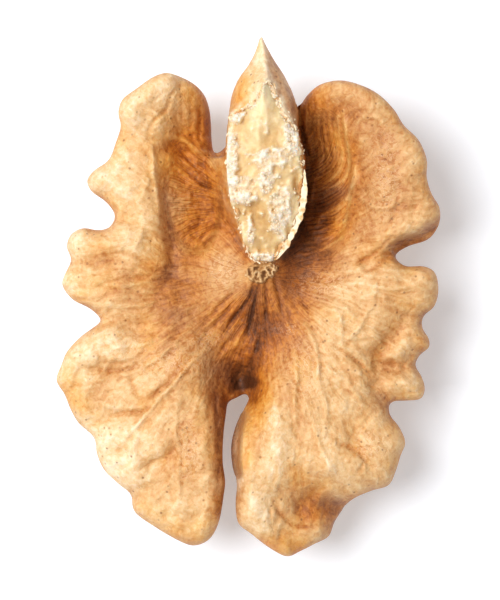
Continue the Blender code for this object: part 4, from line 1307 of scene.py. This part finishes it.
@dataclass(frozen=True)
class DryPellicle:
    """Dried walnut pellicle: the kernel's own papery seed coat, as it grew.

    To the eye it is satin, tan on the crowns and orange to dark brown in the hollows, with
    fine fibres, tiny dark pores and a little light bleeding through from the flesh.
    """

    mottle_mm: float = 1.5
    crepe_mm: float = 0.34
    pore_mm: float = 0.5
    pore_radius_mm: float = 0.052
    roughness: float = 0.52

    def build(self) -> bpy.types.Material:
        """Builds the finish.

        Returns:
            The material.
        """
        material, add, shade = new_material("dried_walnut_pellicle")
        place = add("TexCoord", out="Object")
        names = ("tone", "flush", "bruise_and_shade", "fibrous", "torn_edge", "crackle")
        mask = {name: add("Attribute", out="Fac", attribute_name=name) for name in names}
        grain = add("Attribute", out="Vector", attribute_name="grain")
        mottle = add("TexNoise", {"Vector": place, "Scale": 1 / (self.mottle_mm * MM), "Detail": 2.0})
        crepe = add("TexNoise", {"Vector": place, "Scale": 1 / (self.crepe_mm * MM), "Detail": 4.0,
                                 "Roughness": 0.62, "Distortion": 0.5})
        # Fibres follow the grain: coarse ones near the scar, finer ones further out.
        fibre = add("TexNoise", {"Vector": grain, "Scale": 1.0, "Detail": 4.0, "Roughness": 0.6})
        finer = add("VectorMath", {0: grain, 1: (4.0, 4.0, 1.4)}, operation="MULTIPLY")
        finer = add("TexNoise", {"Vector": finer, "Scale": 1.0, "Detail": 2.0})
        fibre = add("Math", {0: fibre, 1: finer}, operation="ADD")
        streak = add("Math", {0: fibre, 1: 1.0}, operation="SUBTRACT")
        streak = add("Math", {0: streak, 1: mask["fibrous"]}, operation="MULTIPLY")
        tone = add("Math", {0: mottle, 1: 0.20, 2: mask["tone"]}, operation="MULTIPLY_ADD")
        tone = add("Math", {0: crepe, 1: 0.54, 2: tone}, operation="MULTIPLY_ADD")
        tone = add("Math", {0: streak, 1: 0.25, 2: tone}, operation="MULTIPLY_ADD")
        tone = add("Math", {0: finer, 1: 0.28, 2: tone}, operation="MULTIPLY_ADD")
        tone = add("Math", {0: tone, 1: 0.51}, operation="SUBTRACT")
        tan = add("ValToRGB", {"Fac": tone}, stops=[
            (0.05, "#472713"), (0.2, "#683a1d"), (0.34, "#8b5228"), (0.48, "#b5763f"),
            (0.62, "#cd985f"), (0.74, "#dcb17b"), (0.86, "#e9c799"), (1.0, "#f6dfbf")])
        orange = add("ValToRGB", {"Fac": tone}, stops=[
            (0.05, "#50280f"), (0.2, "#7a4016"), (0.34, "#a05718"), (0.48, "#c67827"),
            (0.62, "#d79541"), (0.76, "#e4ae5e"), (0.88, "#ecc386"), (1.0, "#f6daae")])
        bruise_and_shade_colour = add("ValToRGB", {"Fac": tone}, stops=[
            (0.1, "#352018"), (0.4, "#785040"), (0.62, "#a57a60"), (0.85, "#c9a286")])
        skin = add("Mix", {0: mask["flush"], 6: tan, 7: orange}, 2, data_type="RGBA")
        # The bruising colour mostly paints shade: purplish brown in valleys, hollows, the slit, under the
        # fold on the right and right of the germ's keel.
        soft_bruise_and_shade = add("Math", {0: mask["bruise_and_shade"], 1: 0.7}, operation="MULTIPLY")
        skin = add("Mix", {0: soft_bruise_and_shade, 6: skin, 7: bruise_and_shade_colour}, 2, data_type="RGBA")
        # Pores: small dark dots, in loose groups. Real ones are finer; these are drawn to show.
        cells = add("TexVoronoi", {"Vector": place, "Scale": 1 / (self.pore_mm * MM)})
        radius = self.pore_radius_mm / self.pore_mm
        dots = add("MapRange", {0: cells, 1: radius, 2: 2.2 * radius, 3: 1.0, 4: 0.0})
        group = add("Math", {0: mottle, 1: 0.6, 2: cells.node.outputs["Color"]}, operation="MULTIPLY_ADD")
        group = add("Math", {0: mask["bruise_and_shade"], 1: 0.4, 2: group}, operation="MULTIPLY_ADD")
        group = add("MapRange", {0: group, 1: 0.8, 2: 1.1, 3: 0.0, 4: 0.65})
        pores = add("Math", {0: dots, 1: group}, operation="MULTIPLY")
        skin = add("Mix", {0: pores, 6: skin, 7: srgb("#7d4722")}, 2, data_type="RGBA")
        # Thin pale threads, where the skin was rubbed or crackled.
        strand = add("Math", {0: finer, 1: 0.5}, operation="SUBTRACT")
        strand = add("Math", {0: strand}, operation="ABSOLUTE")
        strand = add("MapRange", {0: strand, 1: 0.0, 2: 0.035, 3: 0.45, 4: 0.0})
        everywhere = add("Math", {0: mask["fibrous"], 1: 0.3}, operation="MAXIMUM")
        strand = add("Math", {0: strand, 1: everywhere}, operation="MULTIPLY")
        net = add("Math", {0: crepe, 1: 0.5}, operation="SUBTRACT")
        net = add("Math", {0: net}, operation="ABSOLUTE")
        net = add("MapRange", {0: net, 1: 0.0, 2: 0.035, 3: 1.0, 4: 0.0})
        net = add("Math", {0: net, 1: mask["crackle"]}, operation="MULTIPLY")
        threads = add("Math", {0: strand, 1: net}, operation="MAXIMUM")
        threads = add("Math", {0: threads, 1: tone}, operation="MULTIPLY")
        skin = add("Mix", {0: threads, 6: skin, 7: srgb("#f3d5ae")}, 2, data_type="RGBA")
        skin = add("Mix", {0: mask["torn_edge"], 6: skin, 7: srgb("#f0d9b4")}, 2, data_type="RGBA")
        rough = add("Math", {0: crepe, 1: 0.26, 2: self.roughness - 0.13}, operation="MULTIPLY_ADD")
        relief = add("Math", {0: mottle, 1: 0.4}, operation="MULTIPLY")
        relief = add("Math", {0: crepe, 1: 0.8, 2: relief}, operation="MULTIPLY_ADD")
        relief = add("Math", {0: streak, 1: 1.1, 2: relief}, operation="MULTIPLY_ADD")
        relief = add("Math", {0: finer, 1: 0.45, 2: relief}, operation="MULTIPLY_ADD")
        relief = add("Math", {0: pores, 1: -0.4, 2: relief}, operation="MULTIPLY_ADD")
        bump = add("Bump", {"Height": relief, "Strength": 0.8, "Distance": 0.14 * MM})
        shade({"Base Color": skin, "Roughness": rough, "Normal": bump, "IOR": 1.45,
               "Specular IOR Level": 0.35, "Subsurface Weight": 0.12,
               "Subsurface Radius": (1.0, 0.45, 0.2), "Subsurface Scale": 0.8 * MM})
        return material


@dataclass(frozen=True)
class TornFlesh:
    """Torn walnut flesh: oily cotyledon, broken by hand.

    To the eye the crumbled parts are chalky cream, and the clean breaks are smooth, waxy
    and yellowish, with light going some way in.
    """

    name: str = "torn_walnut_flesh"
    crumb_mm: float = 0.22
    roughness: float = 0.5
    bleed: float = 0.6
    bleed_mm: float = 0.9

    def build(self) -> bpy.types.Material:
        """Builds the finish.

        Returns:
            The material.
        """
        material, add, shade = new_material(self.name)
        place = add("TexCoord", out="Object")
        waxy = add("Attribute", out="Fac", attribute_name="waxy")
        crest = add("Attribute", out="Fac", attribute_name="crest")
        crumb = add("TexNoise", {"Vector": place, "Scale": 1 / (self.crumb_mm * MM), "Detail": 4.0,
                                 "Roughness": 0.6})
        broad = add("TexNoise", {"Vector": place, "Scale": 1 / (1.3 * MM), "Detail": 3.0})
        # The crest value carries painted highlight and shade: paler on crests, darker in low parts.
        tone = add("Math", {0: crest, 1: 0.5, 2: -0.03}, operation="MULTIPLY_ADD")
        tone = add("Math", {0: crumb, 1: 0.4, 2: tone}, operation="MULTIPLY_ADD")
        tone = add("Math", {0: broad, 1: 0.4, 2: tone}, operation="MULTIPLY_ADD")
        chalk = add("ValToRGB", {"Fac": tone}, stops=[
            (0.2, "#c4955a"), (0.42, "#dcb987"), (0.6, "#e9d0aa"), (0.85, "#f5e8d3")])
        wax = add("ValToRGB", {"Fac": tone}, stops=[
            (0.2, "#c39356"), (0.42, "#d6b077"), (0.6, "#dfc08c"), (0.85, "#ecd5a9")])
        flesh = add("Mix", {0: waxy, 6: chalk, 7: wax}, 2, data_type="RGBA")
        rough = add("Math", {0: waxy, 1: -0.14, 2: self.roughness}, operation="MULTIPLY_ADD")
        rough = add("Math", {0: crumb, 1: 0.2, 2: rough}, operation="MULTIPLY_ADD")
        height = add("Math", {0: 1.1, 1: waxy}, operation="SUBTRACT")
        height = add("Math", {0: height, 1: crumb}, operation="MULTIPLY")
        bump = add("Bump", {"Height": height, "Strength": 0.8, "Distance": 0.12 * MM})
        shade({"Base Color": flesh, "Roughness": rough, "Normal": bump, "IOR": 1.47,
               "Specular IOR Level": 0.35, "Subsurface Weight": self.bleed,
               "Subsurface Radius": (1.0, 0.75, 0.45), "Subsurface Scale": self.bleed_mm * MM})
        return material


@dataclass(frozen=True)
class TornSkin:
    """Torn walnut pellicle: thin papery flakes, pale inside and brown outside.

    To the eye each flake has its own tan, from cream to brown, and is dry and matt.
    """

    flake_mm: float = 0.5
    roughness: float = 0.7
    shades: tuple[str, str, str] = ("#d0a067", "#e6c394", "#f5e4c5")

    def build(self) -> bpy.types.Material:
        """Builds the finish.

        Returns:
            The material.
        """
        material, add, shade = new_material("torn_walnut_pellicle")
        place = add("TexCoord", out="Object")
        patch = add("TexNoise", {"Vector": place, "Scale": 1 / (self.flake_mm * MM), "Detail": 3.0})
        dark, middle, pale = self.shades
        skin = add("ValToRGB", {"Fac": patch}, stops=[(0.32, dark), (0.43, middle), (0.53, pale)])
        grit = add("TexNoise", {"Vector": place, "Scale": 6 / (self.flake_mm * MM), "Detail": 2.0})
        bump = add("Bump", {"Height": grit, "Strength": 0.6, "Distance": 0.05 * MM})
        shade({"Base Color": skin, "Roughness": self.roughness, "Normal": bump, "Specular IOR Level": 0.3})
        return material


@dataclass(frozen=True)
class DriedScar:
    """Dried scar tissue: brittle, papery rims round dark hollows, left as they broke.

    To the eye the rims are greyish tan with pale edges, and the hollows are nearly black. The
    hollows' dark is painted shade over shallow floors, and the pale of the walls is partly painted highlight.
    """

    roughness: float = 0.75

    def build(self) -> bpy.types.Material:
        """Builds the finish.

        Returns:
            The material.
        """
        material, add, shade = new_material("dried_scar_tissue")
        place = add("TexCoord", out="Object")
        hole_shade = add("Attribute", out="Fac", attribute_name="hole_shade")
        crest = add("Attribute", out="Fac", attribute_name="crest")
        grit = add("TexNoise", {"Vector": place, "Scale": 1 / (0.2 * MM), "Detail": 4.0})
        tone = add("Math", {0: grit, 1: 0.5, 2: 0.1}, operation="MULTIPLY_ADD")
        # Taller walls are paler: partly their own pale edges, partly painted highlight.
        tone = add("Math", {0: crest, 1: 0.6, 2: tone}, operation="MULTIPLY_ADD")
        rim = add("ValToRGB", {"Fac": tone}, stops=[
            (0.3, "#85582f"), (0.58, "#b0804c"), (0.8, "#cda26e"), (1.0, "#dfbf92")])
        # The hollows inside the rings are painted dark brown, as shade.
        tissue = add("Mix", {0: hole_shade, 6: rim, 7: srgb("#6e4726")}, 2, data_type="RGBA")
        bump = add("Bump", {"Height": grit, "Strength": 0.7, "Distance": 0.08 * MM})
        shade({"Base Color": tissue, "Roughness": self.roughness, "Normal": bump,
               "Specular IOR Level": 0.3})
        return material


@dataclass(frozen=True)
class OpalBoard:
    """Opal acrylic board, faintly lit from below: the studio's own matt floor."""

    colour: str = "#e4e8ee"
    glow: float = 0.25

    def build(self) -> bpy.types.Material:
        """Builds the finish.

        Returns:
            The material.
        """
        material, _, shade = new_material("opal_acrylic_board")
        shade({"Base Color": srgb(self.colour), "Roughness": 0.9, "Specular IOR Level": 0.1,
               "Emission Color": srgb("#ffffff"), "Emission Strength": self.glow})
        return material


# ------------------------------------------------------------------------------- pieces

@dataclass
class Kernel:
    """The kernel half's skin-covered body: wings, bridge, germ and back."""

    relief: Relief
    net: Net
    slab_half: float = 1.2
    first_net: float = 0.17
    last_net: float = 0.145
    shift: tuple[float, float, float] = (0.0, 0.0, 0.0)

    def build(self) -> bpy.types.Object:
        """Builds and paints the body.

        Returns:
            The body, in its place.
        """
        relief, net = self.relief, self.net
        body = net.slab("kernel_body", [dense(WINGS, 5, True), dense(GERM, 5, True)], self.slab_half)
        net.even(body, self.first_net)
        net.raise_slab(body, self.slab_half, relief.top, relief.under)
        net.even(body, self.last_net)
        net.settle(body, relief.top, relief.under)
        self.paint(body)
        co = net.corners(body)
        low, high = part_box(NODE)
        middle = (co.min(axis=0) + co.max(axis=0)) / 2
        self.shift = ((low[0] + high[0]) / 2 / MM - middle[0], (low[1] + high[1]) / 2 / MM - middle[1], 0.0)
        net.place(body, co + np.array(self.shift))
        net.bake_map(body)
        body.data.shade_smooth()
        return body

    def paint(self, body: bpy.types.Object) -> None:
        """Carries the chart's masks onto the body.

        Args:
            body: the body, before it is moved to its place.
        """
        net, chart, masks = self.net, self.relief.chart, self.relief.masks
        co = net.corners(body)
        up = smooth_step(-0.15, 0.25, net.facing(body))

        def read(name: str) -> Field:
            """A mask at each corner."""
            return chart.read(masks[name], co[:, 0], co[:, 1])

        net.paint(body, "tone", up * read("tone") + (1 - up) * read("back_tone"))
        net.paint(body, "flush", up * read("flush") + (1 - up) * read("back_flush"))
        net.paint(body, "fibrous", up * read("fibrous") + 0.15 * (1 - up))
        for name in ("bruise_and_shade", "crackle", "torn_edge"):
            net.paint(body, name, up * read(name))
        # The grain runs out from the scar on the wings, and from the germ in the left hollow.
        flows = []
        sway = 0.045 * self.relief.noise.layers(0.4 * co[:, 0], 0.4 * co[:, 1], 2)
        for (mx, my), turns in ((self.relief.scar, 8.0), (GERM_BED, 11.0)):
            angle = np.arctan2(co[:, 1] - my, co[:, 0] - mx) + sway
            away = np.hypot(co[:, 1] - my, co[:, 0] - mx)
            flows.append(np.stack([np.cos(angle) * turns, np.sin(angle) * turns, 0.35 * away], 1))
        # In the right hollow it bends round the foot of the lobe.
        turn = read("turn_right") + 2 * sway
        flows.append(np.stack([3.2 * turn, 0 * turn, 0.35 * (co[:, 0] - co[:, 1])], 1))
        flow, *hollows = flows
        for name, inside in zip(("hollow_left", "hollow_right"), hollows):
            share = smooth_step(0.2, 0.5, read(name))[:, None]
            flow = (1 - share) * flow + share * inside
        grain = body.data.attributes.new("grain", "FLOAT_VECTOR", "POINT")
        grain.data.foreach_set("vector", flow.astype(np.float32).ravel())


@dataclass
class TornFace:
    """The germ's broken face: crumbly cream flesh with smooth breaks."""

    relief: Relief
    net: Net
    slab_half: float = 0.5
    spacing: float = 0.1
    margin: float = 0.3
    cover: float = 0.12
    thickness: float = 1.4

    def build(self, shift: Field) -> bpy.types.Object:
        """Builds the flesh.

        Args:
            shift: how far the body was moved to its place, in millimetres.

        Returns:
            The flesh, in its place.
        """
        relief, net = self.relief, self.net
        # The flesh runs a little under its skin, but never out of the germ's side.
        loop = widen(dense(TORN, 5, True), self.margin)
        spare = relief.chart.read(relief.germ_depth, *loop.T) - self.cover
        loop = widen(loop, np.minimum(spare, 0)[:, None])
        flesh = net.slab("torn_germ_flesh", [loop], self.slab_half)
        net.even(flesh, self.spacing)
        net.raise_slab(flesh, self.slab_half, relief.torn_top, relief.torn_top - self.thickness)
        co = net.corners(flesh)
        net.paint(flesh, "waxy", relief.chart.read(relief.masks["waxy"], co[:, 0], co[:, 1]))
        # Painted highlight and shade: the flesh is paler on its crests and darker in its low parts and in the
        # golden gaps. It is also darker towards its lower end.
        crest = relief.torn_top - relief.chart.soften(relief.torn_top, 0.5)
        lower = smooth_step(8.4, 5.6, relief.chart.y) * smooth_step(2.6, 1.4, relief.chart.x)
        crest = 0.5 + 2.0 * crest - 0.55 * relief.masks["gap"] - 0.3 * lower
        net.paint(flesh, "crest", np.clip(relief.chart.read(crest, co[:, 0], co[:, 1]), 0, 1))
        net.place(flesh, co + shift)
        flesh.data.shade_smooth()
        return flesh


def lumps(name: str, places: Field, sizes: Field, turns: Field, rough: float, seed: int) -> bpy.types.Object:
    """Makes one mesh of small rough lumps.

    Args:
        name: the new object's name.
        places: the lumps' middles, as rows of x, y and z in millimetres.
        sizes: their three half axes in millimetres.
        turns: their turns about X, Y and Z in radians.
        rough: the share by which a corner may stand in or out.
        seed: the seed of the random draws.

    Returns:
        The object.
    """
    rng = np.random.default_rng(seed)
    mesh = bmesh.new()
    for place, size, turn in zip(places, sizes, turns):
        middle = Vector(place * MM)
        frame = Matrix.LocRotScale(middle, Euler(turn), Vector(size * MM))
        made = bmesh.ops.create_icosphere(mesh, subdivisions=2, radius=1.0, matrix=frame)
        for corner in made["verts"]:
            corner.co = middle + (corner.co - middle) * (1 + rough * rng.uniform(-1, 1))
    piece = new_piece(name, mesh)
    piece.data.shade_smooth()
    return piece


@dataclass
class TornBorder:
    """Crumbs on the torn face, and flakes of broken skin round it."""

    relief: Relief
    crumb_count: int = 460
    crumb_radius: Point = (0.04, 0.10)
    crumb_tone: float = 0.62
    flake_count: int = 240
    flake_length: Point = (0.08, 0.26)
    flake_wall: float = 0.02
    lip_width: float = 0.52
    lip_wall: float = 0.05
    lip_root: float = 0.35

    def crumbs(self, shift: Field) -> bpy.types.Object:
        """Scatters crumbs over the crumbly parts of the torn face.

        Args:
            shift: how far the body was moved to its place, in millimetres.

        Returns:
            The crumbs, as one piece.
        """
        relief = self.relief
        rng = np.random.default_rng(21)
        spots = rng.uniform((-1.8, 2.3), (4.1, 15.0), (self.crumb_count * 12, 2))
        inside = relief.chart.read(relief.torn_depth, *spots.T)
        loose = (1 - relief.chart.read(relief.masks["waxy"], *spots.T)) * (inside > 0.1)
        # A crust of crumbs follows the upper edge.
        loose = np.maximum(loose, np.exp(-((inside / 0.22) ** 2)) * smooth_step(11.4, 12.4, spots[:, 1]))
        loose = loose * (relief.chart.read(relief.germ_depth, *spots.T) > 0.15)
        spots = spots[rng.random(len(spots)) < loose][: self.crumb_count]
        size = rng.uniform(*self.crumb_radius, (len(spots), 1)) * rng.uniform(0.7, 1.3, (len(spots), 3))
        bed = np.maximum(relief.torn_top, np.where(relief.torn_depth < 0.25, relief.top, 0))
        z = relief.chart.read(bed, *spots.T) - 0.25 * size[:, 2]
        turns = rng.uniform(0, math.tau, (len(spots), 3))
        places = np.column_stack([spots, z]) + shift
        piece = lumps("torn_flesh_crumbs", places, size, turns, 0.16, 22)
        Net(relief.chart).paint(piece, "crest", np.full(len(piece.data.vertices), self.crumb_tone))
        return piece

    def flakes(self, shift: Field) -> bpy.types.Object:
        """Stands small flakes of skin along the torn face's border.

        Args:
            shift: how far the body was moved to its place, in millimetres.

        Returns:
            The flakes, as one piece.
        """
        relief = self.relief
        rng = np.random.default_rng(31)
        loop = dense(TORN, 12, True)
        pick = rng.integers(0, len(loop), self.flake_count)
        run = np.roll(loop, -1, axis=0) - loop
        heading = np.arctan2(run[pick, 1], run[pick, 0])
        spots = widen(loop, 0.06)[pick] + rng.normal(0, 0.10, (self.flake_count, 2))
        # A flake past the germ's side would stand on nothing.
        firm = relief.chart.read(relief.germ_depth, *spots.T) > 0.08
        spots, heading = spots[firm], heading[firm]
        count = len(spots)
        z = relief.chart.read(relief.top, *spots.T) + rng.uniform(-0.02, 0.10, count)
        long = rng.uniform(*self.flake_length, count)
        wide = long * rng.uniform(0.25, 0.5, count)
        size = np.column_stack([long, wide, np.full(count, self.flake_wall)])
        turns = rng.normal(0, 0.5, (count, 3))
        turns[:, 2] += heading
        return lumps("torn_skin_flakes", np.column_stack([spots, z]) + shift, size, turns, 0.2, 32)

    def lip(self, shift: Field) -> bpy.types.Object:
        """Bends a strip of torn skin up along the torn face's lower right edge.

        Args:
            shift: how far the body was moved to its place, in millimetres.

        Returns:
            The lip.
        """
        relief = self.relief
        line = dense(SKIN_LIP, 8)
        noise = Noise(41)
        rows, columns = len(line), 6
        mesh = bmesh.new()
        bmesh.ops.create_grid(mesh, x_segments=columns - 1, y_segments=rows - 1, size=1.0)
        mesh.verts.ensure_lookup_table()
        run = np.gradient(line, axis=0)
        side = np.stack([-run[:, 1], run[:, 0]], 1) / np.hypot(*run.T)[:, None]
        reach = np.linspace(0, 1, rows)
        ends = np.minimum(1, 6 * np.minimum(reach, 1 - reach))
        rag = 0.4 * noise.layers(2.6 * line[:, 0], 2.6 * line[:, 1], 4)
        width = self.lip_width * ends * np.clip(0.75 + rag, 0.3, 1.4)
        # The lip starts level with the flesh just inside it.
        inside = line - self.lip_root * side
        base = relief.chart.read(np.maximum(relief.top, relief.torn_top), *inside.T)
        base = np.convolve(np.pad(base, 5, mode="edge"), np.full(11, 1 / 11), "valid")
        for vert in mesh.verts:
            row, column = divmod(vert.index, columns)
            share = column / (columns - 1)
            x, y = line[row] - side[row] * width[row] * (share - 0.4)
            curl = 0.16 * (1 - share) ** 2 + 0.10 * rag[row]
            vert.co = (np.array([x, y, base[row] + 0.02 + curl]) + shift) * MM
        piece = new_piece("torn_skin_lip", mesh)
        piece.data.shade_smooth()
        wall = piece.modifiers.new("wall", "SOLIDIFY")
        wall.thickness = self.lip_wall * MM
        wall.offset = 0
        return piece


@dataclass
class ScarRings:
    """The scar at the germ's foot: crumpled papery rings, where the shell's veins broke off."""

    relief: Relief
    spacing: float = 0.055
    slab_half: float = 0.3
    wall: float = 0.085
    height: float = 0.42
    floor: float = 0.06
    crumple: float = 0.11

    def build(self, shift: Field) -> bpy.types.Object:
        """Builds the rings.

        Args:
            shift: how far the body was moved to its place, in millimetres.

        Returns:
            The rings, in their place.
        """
        chart = Chart(0.03, 3.0, 3.0)
        net, noise = Net(chart), Noise(51)
        rng = np.random.default_rng(52)
        x, y = chart.x, chart.y
        base = self.relief.chart.read(self.relief.top, x, y)
        walls, hole_shade = np.zeros(x.shape), np.zeros(x.shape)
        turn = np.linspace(0, math.tau, 14, endpoint=False)
        for cx, cy, rx, ry in SCAR_RINGS:
            loop = np.stack([cx + rx * np.cos(turn), cy + ry * np.sin(turn)], 1)
            loop = dense(loop + rng.normal(0, self.crumple, loop.shape), 4, True)
            depth = chart.depth(loop, 0.5)
            tall = rng.uniform(0.6, 1.0) + 0.35 * noise.layers(1.5 * x, 1.5 * y, 2)
            walls = np.maximum(walls, tall * np.exp(-((depth / self.wall) ** 2)))
            hole_shade = np.maximum(hole_shade, smooth_step(0.02, 0.12, depth))
        ragged = 0.14 * noise.layers(2.2 * x, 2.2 * y, 3)
        rim = smooth_step(0.0, 0.3, chart.depth(dense(SCAR, 5, True), 1.0) + ragged - 0.08)
        rough = 0.2 * noise.layers(2.4 * x, 2.4 * y, 3)
        top = base - 0.25 + rim * (0.25 + self.floor + self.height * walls + rough)
        piece = net.slab("scar_rings", [dense(SCAR, 5, True)], self.slab_half)
        net.even(piece, self.spacing)
        net.raise_slab(piece, self.slab_half, top, base - 0.7)
        co = net.corners(piece)
        # The hollows inside the rings are stored to be painted dark, as shade.
        net.paint(piece, "hole_shade", chart.read(hole_shade * (1 - np.clip(1.4 * walls, 0, 1)), co[:, 0], co[:, 1]))
        net.paint(piece, "crest", chart.read(np.clip(walls, 0, 1), co[:, 0], co[:, 1]))
        net.place(piece, co + shift)
        piece.data.shade_smooth()
        return piece


# ------------------------------------------------------------------------------- studio

@dataclass
class Studio:
    """A plain pale floor, soft light and the camera."""

    lens: float = 300.0
    sensor: float = 36.0
    view_height: float = 41.85
    view_middle: tuple[float, float, float] = (0.13, -0.16, 9.0)
    key_power: float = 2.28
    key_size: float = 0.26
    key_place: tuple[float, float, float] = (-0.18, 0.05, 0.42)
    sky: float = 0.46
    floor_size: float = 3.0

    def floor(self) -> bpy.types.Object:
        """Lays the floor under the half.

        Returns:
            The floor.
        """
        bpy.ops.mesh.primitive_grid_add(x_subdivisions=8, y_subdivisions=8, size=self.floor_size)
        floor = bpy.context.object
        floor.name = "studio_floor"
        floor.data.materials.append(OpalBoard().build())
        return floor

    def lights(self) -> None:
        """Hangs a soft key light up to the left, and an even white sky."""
        light = bpy.data.lights.new("key", "AREA")
        light.shape = "DISK"
        light.size = self.key_size
        light.energy = self.key_power
        key = bpy.data.objects.new("key", light)
        key.location = self.key_place
        key.rotation_euler = (-key.location).to_track_quat("-Z", "Y").to_euler()
        bpy.context.scene.collection.objects.link(key)
        world = bpy.data.worlds.new("studio")
        world.use_nodes = True
        back = world.node_tree.nodes["Background"]
        back.inputs["Color"].default_value = srgb("#fffdfe")
        back.inputs["Strength"].default_value = self.sky
        bpy.context.scene.world = world

    def camera(self) -> None:
        """Hangs the camera straight above, with a long lens."""
        data = bpy.data.cameras.new("camera")
        data.lens = self.lens
        data.sensor_width = self.sensor
        data.clip_start = 0.01
        data.clip_end = 10.0
        away = self.view_height * self.lens / self.sensor
        camera = bpy.data.objects.new("camera", data)
        x, y, z = self.view_middle
        camera.location = (x * MM, y * MM, (z + away) * MM)
        bpy.context.scene.collection.objects.link(camera)
        bpy.context.scene.camera = camera

    def build(self) -> None:
        """Sets the whole studio up."""
        self.floor()
        self.lights()
        self.camera()
        bpy.context.scene.view_settings.view_transform = "Standard"


def main() -> None:
    """Builds the half and its studio, in order."""
    logging.basicConfig(level=logging.INFO, format="%(message)s")
    Studio().build()
    chart = Chart()
    relief = Relief(chart)
    net = Net(chart)
    kernel = Kernel(relief, net)
    body = kernel.build()
    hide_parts(NODE)
    shift = np.array(kernel.shift)
    border = TornBorder(relief)
    torn_skin = TornSkin().build()
    dressed = [
        (body, DryPellicle().build()),
        (TornFace(relief, net).build(shift), TornFlesh().build()),
        (border.flakes(shift), torn_skin),
        (border.lip(shift), torn_skin),
        (ScarRings(relief).build(shift), DriedScar().build()),
        (border.crumbs(shift), TornFlesh("crumbled_walnut_flesh", bleed=0.35, bleed_mm=0.12).build()),
    ]
    for piece, material in dressed:
        piece.data.materials.append(material)
        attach(piece, BODY)
        LOG.info("%s: %d faces", piece.name, len(piece.data.polygons))


if __name__ == "__main__":
    main()
